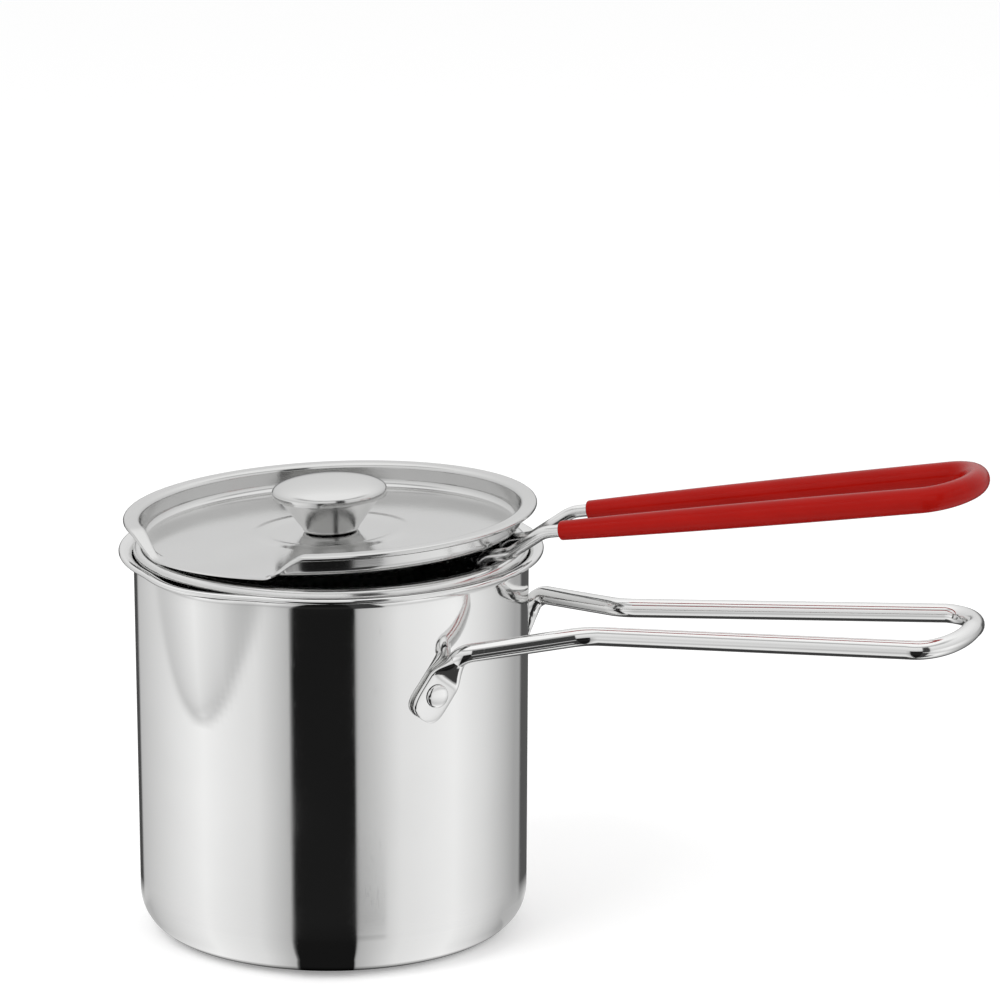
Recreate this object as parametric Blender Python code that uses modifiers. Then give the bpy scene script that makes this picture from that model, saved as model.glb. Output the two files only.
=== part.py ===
"""Deep fry pot with a lift-out basket and a lid.

A polished steel pot with a pouring spout carries a hairpin rod handle on two rivets. A perforated basket
hangs in it by its rolled rim and is lifted by a wire handle in a vinyl sleeve. A recessed lid with a
pressed knob lies on the basket. Lengths are in metres, angles in degrees. The origin is the middle of the
pot's underside, Z is up and both handles point along X.
"""

import math

import bmesh
import bpy
from mathutils import Matrix, Vector

# Fits between neighbouring pieces
SEAT_GAP = 0.0003
LID_SEAT_GAP = 0.0006
CUT_OVERRUN = 0.002
MERGE_LIMIT = 0.00001

# Pot: drawn sheet, slightly conical, with a flared lip that ends in a small hem
POT_HEIGHT = 0.1400
POT_MOUTH_RADIUS = 0.0702
POT_TAPER = 0.0007
POT_SHEET = 0.0007
POT_CORNER_RADIUS = 0.0140
LIP_RADIUS = 0.0046
HEM_RADIUS = 0.0007
HEM_END_ANGLE = -120
ROUND_SEGMENTS = 48
BEND_STEPS = 4

# Pouring spout: a bulge pressed in the pot's wall, widest at the lip and closed at its foot
SPOUT_ANGLE = -110
SPOUT_HALF_ANGLE = 22.5
SPOUT_REACH = 0.0040
SPOUT_DEPTH = 0.0490
SPOUT_CREASE_POWER = 2
SPOUT_FOOT_POWER = 0.7
SPOUT_ROW_SHARES = (0.0, 0.15, 0.3, 0.45, 0.6, 0.75, 0.88, 0.96, 1.0)

# Pot handle: one rod bent to a hairpin, its ends beaten flat to ears and riveted to the wall
ROD_RADIUS = 0.0033
ROD_SIDES = 12
EAR_ANGLE = 39
EAR_SLANT = 37
EAR_THICKNESS = 0.0022
EAR_HALF_WIDTH = 0.0066
EAR_FOOT = 0.0096
EAR_NECK = 0.0140
EAR_NECK_SHIFT = 0.0014
EAR_FOOT_SHARES = (1.0, 0.96, 0.86, 0.6, 0.0)
EAR_NECK_SHARES = (0.0, 0.3, 0.55, 0.8, 1.0)
EAR_TIP_SHARE = 0.45
EAR_END_POWER = 3.5
PLATE_SECTION_POWER = 3.2
ROD_SECTION_POWER = 2
RIVET_DROP = 0.0383
KNEE_ANGLE = 33
KNEE_STANDOFF = 0.0068
KNEE_DROP = 0.0234
KNEE_BEND_RADIUS = 0.0050
WAIST_STANDOFF = 0.0318
WAIST_SPREAD = 0.0195
WAIST_DROP = 0.0193
WAIST_BEND_RADIUS = 0.0180
LOOP_STANDOFF = 0.1488
LOOP_SPREAD = 0.0250
LOOP_DEPTH = 0.0155
LOOP_DROP = 0.0121
LOOP_TIP_RISE = 0.0020
LOOP_STEPS = 10

# Rivets
RIVET_SHANK_RADIUS = 0.0023
RIVET_HEAD_RADIUS = 0.0042
RIVET_HEAD_HEIGHT = 0.0011
RIVET_TAIL_RADIUS = 0.0045
RIVET_TAIL_HEIGHT = 0.0012
RIVET_HEAD_SHARES = ((0, 1), (0.45, 0.93), (0.82, 0.62), (1, 0.2), (1, 0))
RIVET_TAIL_SHARES = ((1, 0), (1, 0.4), (0.75, 0.9), (0, 1))

# Basket: perforated sheet rolled to a tube, with a hollow rolled rim and a dished bottom
BASKET_CLEARANCE = 0.0042
BASKET_TAPER = 0.0003
BASKET_SHEET = 0.0006
BASKET_DEPTH = 0.1130
BEAD_RADIUS = 0.0028
BEAD_END_ANGLE = -115
BEAD_STEPS = 8
BOTTOM_SKIRT = 0.0055
BOTTOM_CORNER_RADIUS = 0.0035

# Drain holes: each stands for a patch of the real sheet's fine holes
DRAIN_HOLE_RADIUS = 0.0027
DRAIN_HOLE_SIDES = 6
WALL_HOLE_COLUMNS = 22
WALL_HOLE_ROWS = 6
WALL_HOLE_TOP_MARGIN = 0.0180
WALL_HOLE_FOOT_MARGIN = 0.0160
SEAM_ANGLE = -10
SEAM_HALF_ANGLE = 9
BOTTOM_RING_PITCH = 0.0145
BOTTOM_RINGS = 3
HOLE_STAGGER_SHARES = (0.75, 0.25)

# Basket handle: one wire bent to a hairpin, its ends spot-welded inside the basket's wall
WIRE_RADIUS = 0.0022
WIRE_SPREAD = 0.0120
WIRE_LEG_DROP = 0.0310
WIRE_CREST_STANDOFF = 0.0040
WIRE_CREST_RISE = 0.0067
WIRE_SHOULDER_RISE = 0.0045
GRIP_START_STANDOFF = 0.0175
GRIP_START_RISE = 0.0163
GRIP_START_SPREAD = 0.0150
GRIP_LOOP_STANDOFF = 0.1535
GRIP_LOOP_RISE = 0.0400
GRIP_LOOP_SPREAD = 0.0195
GRIP_LOOP_DEPTH = 0.0135
GRIP_LOOP_STEPS = 8
WIRE_SHOULDER_BEND = 0.0045
WIRE_CREST_BEND = 0.0070
WIRE_NECK_BEND = 0.0120

# Vinyl sleeve over the wire: it starts past the wire's neck bend and swells from its mouth
GRIP_MOUTH_WALL = 0.0009
GRIP_WALL = 0.0019
GRIP_SWELL_LENGTH = 0.1050
GRIP_SWELL_SHARES = (0.0, 0.15, 0.35, 0.6, 1.0)
GRIP_SETBACK = 0.0060
TUBE_RESOLUTION = 2

# Lid: recessed pan with a flange, a hem and a dip in the flange that drops into the pot's spout
LID_CLEARANCE = 0.0015
LID_FLANGE_WIDTH = 0.0055
LID_RECESS_DEPTH = 0.0086
LID_SHEET = 0.0006
LID_HEM_RADIUS = 0.0007
LID_FLANGE_BEND = 0.0015
LID_CORNER_RADIUS = 0.0033
LID_DIP_INSET = 0.0035
LID_DIP_HALF_ANGLE = 21
LID_DIP_RAMP_ANGLE = 13

# Knob: a cone that stands on the lid, a domed cap crimped over it, and the screw that holds it
KNOB_BASE_RADIUS = 0.0102
KNOB_RIM_RADIUS = 0.0205
KNOB_CONE_HEIGHT = 0.0142
KNOB_DOME_HEIGHT = 0.0050
KNOB_SKIRT = 0.0016
KNOB_SHEET = 0.0006
KNOB_BEND = 0.0010
KNOB_SEGMENTS = 32
KNOB_DOME_STEPS = 6
KNOB_FLARE_RADIUS_SHARE = 0.42
KNOB_FLARE_HEIGHT_SHARE = 0.46
SCREW_RADIUS = 0.0020
SCREW_HEAD_RADIUS = 0.0040
SCREW_HEAD_HEIGHT = 0.0022
SCREW_SLOT_WIDTH = 0.0009
SCREW_SLOT_DEPTH = 0.0010
SCREW_TIP_REACH = 0.0012
SCREW_TIP_SHARE = 0.7
SCREW_HEAD_SHARES = ((1, 0), (1, 0.55), (0.72, 0.9), (0, 1))
WASHER_RADIUS = 0.0050
WASHER_THICKNESS = 0.0009
NUT_RADIUS = 0.0040
NUT_HEIGHT = 0.0032
NUT_SIDES = 6
SMALL_SEGMENTS = 20

# Sizes that follow from those above
POT_FOOT_RADIUS = POT_MOUTH_RADIUS - POT_TAPER
BASKET_MOUTH_RADIUS = POT_MOUTH_RADIUS - POT_SHEET - BASKET_CLEARANCE
BASKET_FOOT_RADIUS = BASKET_MOUTH_RADIUS - BASKET_TAPER
LID_RECESS_RADIUS = POT_MOUTH_RADIUS - POT_SHEET - LID_CLEARANCE
LID_FLANGE_RADIUS = LID_RECESS_RADIUS + LID_FLANGE_WIDTH
LID_DIP_REACH = LID_FLANGE_RADIUS - LID_DIP_INSET
WAIST_REACH = POT_MOUTH_RADIUS + WAIST_STANDOFF
LOOP_REACH = POT_MOUTH_RADIUS + LOOP_STANDOFF
POT_MOUTH_MIDDLE = POT_MOUTH_RADIUS - POT_SHEET / 2
POT_FOOT_MIDDLE = POT_FOOT_RADIUS - POT_SHEET / 2
LIP_START = POT_HEIGHT - POT_SHEET / 2 - LIP_RADIUS
CORNER_TOP = POT_SHEET / 2 + POT_CORNER_RADIUS
BASKET_MOUTH_MIDDLE = BASKET_MOUTH_RADIUS - BASKET_SHEET / 2
BASKET_FOOT_MIDDLE = BASKET_FOOT_RADIUS - BASKET_SHEET / 2
BEAD_MIDDLE = BEAD_RADIUS - BASKET_SHEET / 2
BEAD_REACH = BASKET_MOUTH_MIDDLE + BEAD_MIDDLE
WIRE_CREST_REACH = BEAD_REACH + WIRE_CREST_STANDOFF
GRIP_START_REACH = BEAD_REACH + GRIP_START_STANDOFF
GRIP_LOOP_REACH = BEAD_REACH + GRIP_LOOP_STANDOFF
SEAT_SPAN = LIP_RADIUS + POT_SHEET / 2 + BEAD_RADIUS + SEAT_GAP
SEAT_OFFSET = POT_MOUTH_MIDDLE + LIP_RADIUS - BEAD_REACH
BASKET_RIM_HEIGHT = LIP_START + math.sqrt(SEAT_SPAN**2 - SEAT_OFFSET**2)
BASKET_FOOT_HEIGHT = BASKET_RIM_HEIGHT - BASKET_DEPTH
LID_FLAT_RADIUS = LID_RECESS_RADIUS - LID_CORNER_RADIUS
KNOB_BASE_HEIGHT = LID_SHEET + SEAT_GAP


def clear_scene():
    for item in list(bpy.data.objects):
        bpy.data.objects.remove(item, do_unlink=True)


def new_collection(name):
    collection = bpy.data.collections.new(name)
    bpy.context.scene.collection.children.link(collection)
    return collection


def new_material(name, colour, roughness, metallic):
    material = bpy.data.materials.new(name)
    material.use_nodes = True
    shader = material.node_tree.nodes["Principled BSDF"]
    shader.inputs["Base Color"].default_value = (*colour, 1.0)
    shader.inputs["Roughness"].default_value = roughness
    shader.inputs["Metallic"].default_value = metallic
    return material


def new_object(name, data, material, parent=None):
    item = bpy.data.objects.new(name, data)
    PARTS.objects.link(item)
    data.materials.append(material)
    item.parent = parent
    return item


def new_empty(name, location, rotation=(0, 0, 0)):
    empty = bpy.data.objects.new(name, None)
    empty.location = location
    empty.rotation_euler = rotation
    PARTS.objects.link(empty)
    return empty


def arc(centre, radius, start, end, steps):
    """Points of a circular arc in the profile plane, both ends included."""
    angles = [math.radians(start + (end - start) * step / steps) for step in range(steps + 1)]
    return [(centre[0] + radius * math.cos(a), centre[1] + radius * math.sin(a)) for a in angles]


def blend(start, end, share):
    return start + (end - start) * share


def smooth_share(share):
    share = min(max(share, 0.0), 1.0)
    return share * share * (3 - 2 * share)


def angle_from(middle, x, y):
    """Angle in degrees from a middle direction to the point, between -180 and 180."""
    return (math.degrees(math.atan2(y, x)) - middle + 180) % 360 - 180


def turned_surface(name, profile, segments):
    """Mesh of a profile turned round Z, as a Screw modifier makes it."""
    outline = bpy.data.meshes.new(name + "_profile")
    outline.from_pydata([(x, 0, z) for x, z in profile], [(i, i + 1) for i in range(len(profile) - 1)], [])
    guide = bpy.data.objects.new(name + "_profile", outline)
    CUTTERS.objects.link(guide)
    screw = guide.modifiers.new("Turn", "SCREW")
    screw.steps = segments
    screw.render_steps = segments
    screw.use_merge_vertices = True
    screw.merge_threshold = MERGE_LIMIT
    screw.use_normal_calculate = False
    evaluated = guide.evaluated_get(bpy.context.evaluated_depsgraph_get())
    surface = bpy.data.meshes.new_from_object(evaluated)
    surface.name = name
    bpy.data.objects.remove(guide, do_unlink=True)
    return surface


def smooth_faces(mesh, sharp_angle=35):
    mesh.shade_smooth()
    mesh.set_sharp_from_angle(angle=math.radians(sharp_angle))


def add_shell(item, thickness):
    """Gives an open surface its sheet thickness, half to each side."""
    shell = item.modifiers.new("Sheet", "SOLIDIFY")
    shell.thickness = thickness
    shell.offset = 0


def sheet_piece(name, profile, segments, sheet, material, parent=None, press=None):
    surface = turned_surface(name, profile, segments)
    if press:
        for point in surface.vertices:
            point.co = press(point.co)
    smooth_faces(surface)
    item = new_object(name, surface, material, parent)
    add_shell(item, sheet)
    return item


def turned_piece(name, profile, segments, material, parent=None):
    """Solid piece from a closed turned profile that runs down its outer side."""
    surface = turned_surface(name, profile, segments)
    smooth_faces(surface)
    return new_object(name, surface, material, parent)


def add_cut(item, cutter):
    cut = item.modifiers.new("Cut", "BOOLEAN")
    cut.operation = "DIFFERENCE"
    cut.solver = "EXACT"
    cut.object = cutter


def new_cutter(name, mesh, parent):
    cutter = bpy.data.objects.new(name, mesh)
    cutter.parent = parent
    cutter.hide_render = True
    cutter.display_type = "WIRE"
    CUTTERS.objects.link(cutter)
    return cutter


def prisms_cutter(name, frames, radius, length, sides, parent=None):
    """One cutter holding a prism for each frame, with its length along the frame's Z."""
    shape = bmesh.new()
    for frame in frames:
        bmesh.ops.create_cone(
            shape,
            cap_ends=True,
            segments=sides,
            radius1=radius,
            radius2=radius,
            depth=length,
            matrix=frame,
        )
    mesh = bpy.data.meshes.new(name)
    shape.to_mesh(mesh)
    shape.free()
    return new_cutter(name, mesh, parent)


def frame_towards(direction, location):
    """Matrix whose Z points along the direction."""
    return Matrix.Translation(location) @ Vector(direction).to_track_quat("Z", "Y").to_matrix().to_4x4()


def rounded_path(corners, bends):
    """Points along straight runs whose inner corners are rounded to the given radii."""
    points = [Vector(corners[0])]
    for index in range(1, len(corners) - 1):
        corner = Vector(corners[index])
        back = (Vector(corners[index - 1]) - corner).normalized()
        ahead = (Vector(corners[index + 1]) - corner).normalized()
        half = back.angle(ahead) / 2
        bend = bends[index - 1]
        reach = bend / math.tan(half)
        centre = corner + (back + ahead).normalized() * (bend / math.sin(half))
        start = (corner + back * reach - centre).normalized()
        end = (corner + ahead * reach - centre).normalized()
        points += [centre + start.slerp(end, step / BEND_STEPS) * bend for step in range(BEND_STEPS + 1)]
    points.append(Vector(corners[-1]))
    return points


def wall_radius(height):
    """Outer radius of the pot's wall at a height."""
    share = (height - CORNER_TOP) / (LIP_START - CORNER_TOP)
    return blend(POT_FOOT_RADIUS, POT_MOUTH_RADIUS, share)


def basket_radius(height):
    """Outer radius of the basket's wall at a height."""
    share = (height - BASKET_FOOT_HEIGHT) / BASKET_DEPTH
    return blend(BASKET_FOOT_RADIUS, BASKET_MOUTH_RADIUS, share)


def press_spout(point):
    """Moves a point of the pot's wall or lip outwards where the spout is pressed."""
    share = (POT_HEIGHT - point.z) / SPOUT_DEPTH
    if share >= 1:
        return point
    opening = 1 - max(share, 0.0)
    half_angle = SPOUT_HALF_ANGLE * math.sqrt(opening)
    offset = abs(angle_from(SPOUT_ANGLE, point.x, point.y))
    if offset >= half_angle:
        return point
    radius = math.hypot(point.x, point.y)
    crown = (1 - (offset / half_angle) ** 2) ** SPOUT_CREASE_POWER
    bulge = SPOUT_REACH * opening**SPOUT_FOOT_POWER * crown
    scale = (radius + bulge) / radius
    return Vector((point.x * scale, point.y * scale, point.z))


def pot_profile():
    """Middle of the pot's sheet, from the hem's end over the lip and down to the middle of the bottom."""
    lip_middle = POT_MOUTH_MIDDLE + LIP_RADIUS
    hem_middle = (lip_middle, LIP_START + LIP_RADIUS - HEM_RADIUS)
    profile = arc(hem_middle, HEM_RADIUS, HEM_END_ANGLE, 90, BEND_STEPS)
    profile += arc((lip_middle, LIP_START), LIP_RADIUS, 90, 180, BEND_STEPS)[1:]
    for share in SPOUT_ROW_SHARES:
        height = POT_HEIGHT - SPOUT_DEPTH * share
        if height < LIP_START - SEAT_GAP:
            profile.append((wall_radius(height) - POT_SHEET / 2, height))
    corner = (POT_FOOT_MIDDLE - POT_CORNER_RADIUS, CORNER_TOP)
    profile += arc(corner, POT_CORNER_RADIUS, 0, -90, BEND_STEPS)
    profile.append((0, POT_SHEET / 2))
    return profile


def ear_frame(side):
    """Outward, down-the-ear and across directions of an ear, and the middle of its rivet hole."""
    angle = math.radians(EAR_ANGLE)
    outward = Vector((math.cos(angle), side * math.sin(angle), 0))
    around = Vector((-math.sin(angle), side * math.cos(angle), 0))
    slant = math.radians(EAR_SLANT)
    down = around * math.sin(slant) - Vector((0, 0, 1)) * math.cos(slant)
    height = POT_HEIGHT - RIVET_DROP
    middle = outward * (wall_radius(height) + SEAT_GAP + EAR_THICKNESS / 2)
    middle.z = height
    return outward, down, down.cross(outward), middle


def build_pot():
    body = sheet_piece("pot_body", pot_profile(), ROUND_SEGMENTS, POT_SHEET, POLISHED, press=press_spout)
    holes = []
    for side in (-1, 1):
        outward, _, _, middle = ear_frame(side)
        holes.append(frame_towards(outward, middle))
    radius = RIVET_SHANK_RADIUS + SEAT_GAP
    length = 2 * (POT_SHEET + EAR_THICKNESS + CUT_OVERRUN)
    cutter = prisms_cutter("rivet_hole_cutter", holes, radius, length, SMALL_SEGMENTS)
    add_cut(body, cutter)
    return cutter


def section_points(middle, first, second, first_half, second_half, power):
    """Points round a section between an ellipse (power 2) and a rounded plate (a higher power)."""
    points = []
    for side in range(ROD_SIDES):
        angle = 2 * math.pi * (side + 0.5) / ROD_SIDES
        along = math.copysign(abs(math.cos(angle)) ** (2 / power), math.cos(angle))
        across = math.copysign(abs(math.sin(angle)) ** (2 / power), math.sin(angle))
        points.append(middle + first * first_half * along + second * second_half * across)
    return points


def handle_half_rings():
    """Rings of the rod from an ear's foot to the tip of the loop, on the +Y side."""
    outward, down, across, middle = ear_frame(1)
    rings = []
    plate_half = EAR_THICKNESS / 2
    for share in EAR_FOOT_SHARES:
        width = EAR_HALF_WIDTH * max((1 - share**EAR_END_POWER) ** (1 / EAR_END_POWER), EAR_TIP_SHARE)
        place = middle + down * EAR_FOOT * share
        rings.append(section_points(place, outward, across, plate_half, width, PLATE_SECTION_POWER))
    head_edge = RIVET_HEAD_RADIUS + 2 * SEAT_GAP
    for share in EAR_NECK_SHARES:
        width = blend(EAR_HALF_WIDTH, ROD_RADIUS, smooth_share(share))
        half = blend(plate_half, ROD_RADIUS, smooth_share(share))
        place = middle - down * blend(head_edge, EAR_NECK, share) + outward * (half - plate_half)
        place -= across * EAR_NECK_SHIFT * smooth_share(share)
        power = blend(PLATE_SECTION_POWER, ROD_SECTION_POWER, share)
        rings.append(section_points(place, outward, across, half, width, power))
    neck = middle - down * EAR_NECK - across * EAR_NECK_SHIFT + outward * (ROD_RADIUS - plate_half)
    waist_height = POT_HEIGHT - WAIST_DROP
    loop_height = POT_HEIGHT - LOOP_DROP
    knee_distance = POT_MOUTH_RADIUS + KNEE_STANDOFF
    knee_angle = math.radians(KNEE_ANGLE)
    knee = (knee_distance * math.cos(knee_angle), knee_distance * math.sin(knee_angle))
    corners = [
        neck,
        (*knee, POT_HEIGHT - KNEE_DROP),
        (WAIST_REACH, WAIST_SPREAD, waist_height),
        (LOOP_REACH, LOOP_SPREAD, loop_height),
    ]
    path = rounded_path(corners, (KNEE_BEND_RADIUS, WAIST_BEND_RADIUS))
    for step in range(1, LOOP_STEPS + 1):
        turn = math.pi / 2 * step / LOOP_STEPS
        reach = LOOP_REACH + LOOP_DEPTH * math.sin(turn)
        rise = LOOP_TIP_RISE * (1 - math.cos(turn))
        path.append(Vector((reach, LOOP_SPREAD * math.cos(turn), loop_height + rise)))
    first = outward
    for index in range(1, len(path)):
        last = index == len(path) - 1
        tangent = Vector((0, -1, 0)) if last else (path[index + 1] - path[index - 1]).normalized()
        first = (first - tangent * first.dot(tangent)).normalized()
        second = tangent.cross(first)
        rings.append(section_points(path[index], first, -second, ROD_RADIUS, ROD_RADIUS, ROD_SECTION_POWER))
    return rings


def build_pot_handle(cutter):
    shape = bmesh.new()
    rings = [[shape.verts.new(point) for point in ring] for ring in handle_half_rings()]
    shape.faces.new(rings[0])
    for near, far in zip(rings, rings[1:]):
        for side in range(ROD_SIDES):
            after = (side + 1) % ROD_SIDES
            shape.faces.new((near[side], near[after], far[after], far[side]))
    bmesh.ops.recalc_face_normals(shape, faces=shape.faces)
    mesh = bpy.data.meshes.new("pot_handle")
    shape.to_mesh(mesh)
    shape.free()
    smooth_faces(mesh, 50)
    handle = new_object("pot_handle", mesh, POLISHED)
    mirror = handle.modifiers.new("Both strands", "MIRROR")
    mirror.use_axis = (False, True, False)
    mirror.use_clip = True
    mirror.merge_threshold = MERGE_LIMIT
    add_cut(handle, cutter)


def rivet_mesh():
    """Rivet along Z with its outer head's underside at zero; its shank runs down to the tail head."""
    grip = EAR_THICKNESS + POT_SHEET + 4 * SEAT_GAP
    head = [(RIVET_HEAD_RADIUS * out, RIVET_HEAD_HEIGHT * up) for out, up in RIVET_HEAD_SHARES]
    shank = [(RIVET_SHANK_RADIUS, 0), (RIVET_SHANK_RADIUS, -grip)]
    tail = [(RIVET_TAIL_RADIUS * out, -grip - RIVET_TAIL_HEIGHT * down) for out, down in RIVET_TAIL_SHARES]
    return turned_surface("rivet", head + shank + tail, SMALL_SEGMENTS)


def build_rivets():
    for side, name in ((-1, "pot_rivet_front"), (1, "pot_rivet_rear")):
        outward, _, _, middle = ear_frame(side)
        mesh = rivet_mesh()
        smooth_faces(mesh)
        rivet = new_object(name, mesh, POLISHED)
        seat = middle + outward * (EAR_THICKNESS / 2 + SEAT_GAP)
        rivet.matrix_world = frame_towards(outward, seat)


def basket_wall_profile():
    """Middle of the basket's sheet, from the end of the rolled rim over its top and down the wall."""
    profile = arc((BEAD_REACH, 0), BEAD_MIDDLE, BEAD_END_ANGLE, 180, BEAD_STEPS)
    profile.append((BASKET_FOOT_MIDDLE, -BASKET_DEPTH))
    return profile


def wall_hole_frames():
    """Frames of the wall's drain holes, staggered from row to row and clear of the seam."""
    frames = []
    span = 360 - 2 * SEAM_HALF_ANGLE
    rows_span = BASKET_DEPTH - WALL_HOLE_TOP_MARGIN - WALL_HOLE_FOOT_MARGIN
    for row in range(WALL_HOLE_ROWS):
        height = -WALL_HOLE_TOP_MARGIN - rows_span * row / (WALL_HOLE_ROWS - 1)
        stagger_share = HOLE_STAGGER_SHARES[row % 2]
        for column in range(WALL_HOLE_COLUMNS):
            turn = SEAM_ANGLE + SEAM_HALF_ANGLE + span * (column + stagger_share) / WALL_HOLE_COLUMNS
            angle = math.radians(turn)
            outward = Vector((math.cos(angle), math.sin(angle), 0))
            place = outward * basket_radius(BASKET_RIM_HEIGHT + height)
            place.z = height
            frames.append(frame_towards(outward, place))
    return frames


def bottom_hole_frames():
    frames = [Matrix.Translation((0, 0, -BASKET_DEPTH))]
    for ring in range(1, BOTTOM_RINGS + 1):
        for place in range(6 * ring):
            angle = 2 * math.pi * place / (6 * ring)
            reach = BOTTOM_RING_PITCH * ring
            spot = (reach * math.cos(angle), reach * math.sin(angle), -BASKET_DEPTH)
            frames.append(Matrix.Translation(spot))
    return frames


def build_basket(basket):
    wall = sheet_piece(
        "basket_wall", basket_wall_profile(), ROUND_SEGMENTS, BASKET_SHEET, BRUSHED, basket
    )
    length = 2 * (BASKET_SHEET + CUT_OVERRUN)
    holes = prisms_cutter(
        "wall_hole_cutter", wall_hole_frames(), DRAIN_HOLE_RADIUS, length, DRAIN_HOLE_SIDES, basket
    )
    add_cut(wall, holes)

    skirt_top = -BASKET_DEPTH + BOTTOM_SKIRT
    skirt_radius = BASKET_FOOT_RADIUS - BASKET_SHEET - SEAT_GAP - BASKET_SHEET / 2
    base = -BASKET_DEPTH + BASKET_SHEET / 2
    corner = (skirt_radius - BOTTOM_CORNER_RADIUS, base + BOTTOM_CORNER_RADIUS)
    profile = [(skirt_radius, skirt_top)]
    profile += arc(corner, BOTTOM_CORNER_RADIUS, 0, -90, BEND_STEPS)
    profile.append((0, base))
    bottom = sheet_piece("basket_bottom", profile, ROUND_SEGMENTS, BASKET_SHEET, BRUSHED, basket)
    holes = prisms_cutter(
        "bottom_hole_cutter", bottom_hole_frames(), DRAIN_HOLE_RADIUS, length, DRAIN_HOLE_SIDES, basket
    )
    add_cut(bottom, holes)


def wire_leg_reach():
    """Distance along X of the wire's legs, which stand just inside the basket's wall."""
    height = BASKET_RIM_HEIGHT - WIRE_LEG_DROP
    distance = basket_radius(height) - BASKET_SHEET - SEAT_GAP - WIRE_RADIUS
    return math.sqrt(distance**2 - WIRE_SPREAD**2)


def hairpin_path():
    """Half of the basket handle, from the foot of its leg to the tip of the loop, on the +Y side."""
    leg = wire_leg_reach()
    corners = [
        (leg, WIRE_SPREAD, -WIRE_LEG_DROP),
        (leg, WIRE_SPREAD, WIRE_SHOULDER_RISE),
        (WIRE_CREST_REACH, WIRE_SPREAD, WIRE_CREST_RISE),
        (GRIP_START_REACH, GRIP_START_SPREAD, GRIP_START_RISE),
        (GRIP_LOOP_REACH, GRIP_LOOP_SPREAD, GRIP_LOOP_RISE),
    ]
    path = rounded_path(corners, (WIRE_SHOULDER_BEND, WIRE_CREST_BEND, WIRE_NECK_BEND))
    slope = (GRIP_LOOP_RISE - GRIP_START_RISE) / (GRIP_LOOP_REACH - GRIP_START_REACH)
    for step in range(1, GRIP_LOOP_STEPS + 1):
        turn = math.pi / 2 * step / GRIP_LOOP_STEPS
        ahead = GRIP_LOOP_DEPTH * math.sin(turn)
        spread = GRIP_LOOP_SPREAD * math.cos(turn)
        path.append(Vector((GRIP_LOOP_REACH + ahead, spread, GRIP_LOOP_RISE + ahead * slope)))
    return path


def whole_hairpin(half):
    """Both strands as one run of points, mirrored at Y = 0."""
    mirrored = [Vector((point.x, -point.y, point.z)) for point in reversed(half[:-1])]
    return half + mirrored


def path_curve(name, points, radii, capped):
    curve = bpy.data.curves.new(name, "CURVE")
    curve.dimensions = "3D"
    curve.bevel_depth = max(radii)
    curve.bevel_resolution = TUBE_RESOLUTION
    curve.use_fill_caps = capped
    spline = curve.splines.new("POLY")
    spline.points.add(len(points) - 1)
    for place, point, radius in zip(spline.points, points, radii):
        place.co = (*point, 1)
        place.radius = radius / max(radii)
    return curve


def tube_mesh(name, points, radii):
    """Closed mesh of a tube along the points, welded at its caps."""
    curve = path_curve(name, points, radii, True)
    holder = bpy.data.objects.new(name, curve)
    PARTS.objects.link(holder)
    mesh = bpy.data.meshes.new_from_object(holder.evaluated_get(bpy.context.evaluated_depsgraph_get()))
    bpy.data.objects.remove(holder, do_unlink=True)
    bpy.data.curves.remove(curve)
    shape = bmesh.new()
    shape.from_mesh(mesh)
    bmesh.ops.remove_doubles(shape, verts=shape.verts, dist=MERGE_LIMIT)
    shape.to_mesh(mesh)
    shape.free()
    smooth_faces(mesh, 50)
    return mesh


def sleeve_path():
    """Half of the sleeve's path, with its wall's thickness at each point, from its mouth to its loop."""
    half = hairpin_path()
    straight = GRIP_LOOP_REACH - GRIP_START_REACH
    path = []
    for swell_share in GRIP_SWELL_SHARES:
        share = (GRIP_SETBACK + GRIP_SWELL_LENGTH * swell_share) / straight
        reach = blend(GRIP_START_REACH, GRIP_LOOP_REACH, share)
        spread = blend(GRIP_START_SPREAD, GRIP_LOOP_SPREAD, share)
        rise = blend(GRIP_START_RISE, GRIP_LOOP_RISE, share)
        wall = blend(GRIP_WALL, GRIP_MOUTH_WALL, (1 - swell_share) ** 2)
        path.append((Vector((reach, spread, rise)), wall))
    path += [(point, GRIP_WALL) for point in half if point.x > path[-1][0].x]
    return path


def build_basket_handle(basket):
    points = whole_hairpin(hairpin_path())
    wire = path_curve("basket_handle_wire", points, [WIRE_RADIUS] * len(points), True)
    new_object("basket_handle_wire", wire, BRUSHED, basket)

    half = sleeve_path()
    walls = [wall for _, wall in half]
    walls += walls[-2::-1]
    bore = WIRE_RADIUS + SEAT_GAP
    roundness = math.cos(math.pi / (4 + 2 * TUBE_RESOLUTION))
    path = whole_hairpin([point for point, _ in half])
    sleeve = tube_mesh("basket_grip", path, [(bore + wall) / roundness for wall in walls])
    grip = new_object("basket_grip", sleeve, VINYL, basket)
    hole = tube_mesh("grip_bore_cutter", points, [bore / roundness] * len(points))
    add_cut(grip, new_cutter("grip_bore_cutter", hole, basket))


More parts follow.
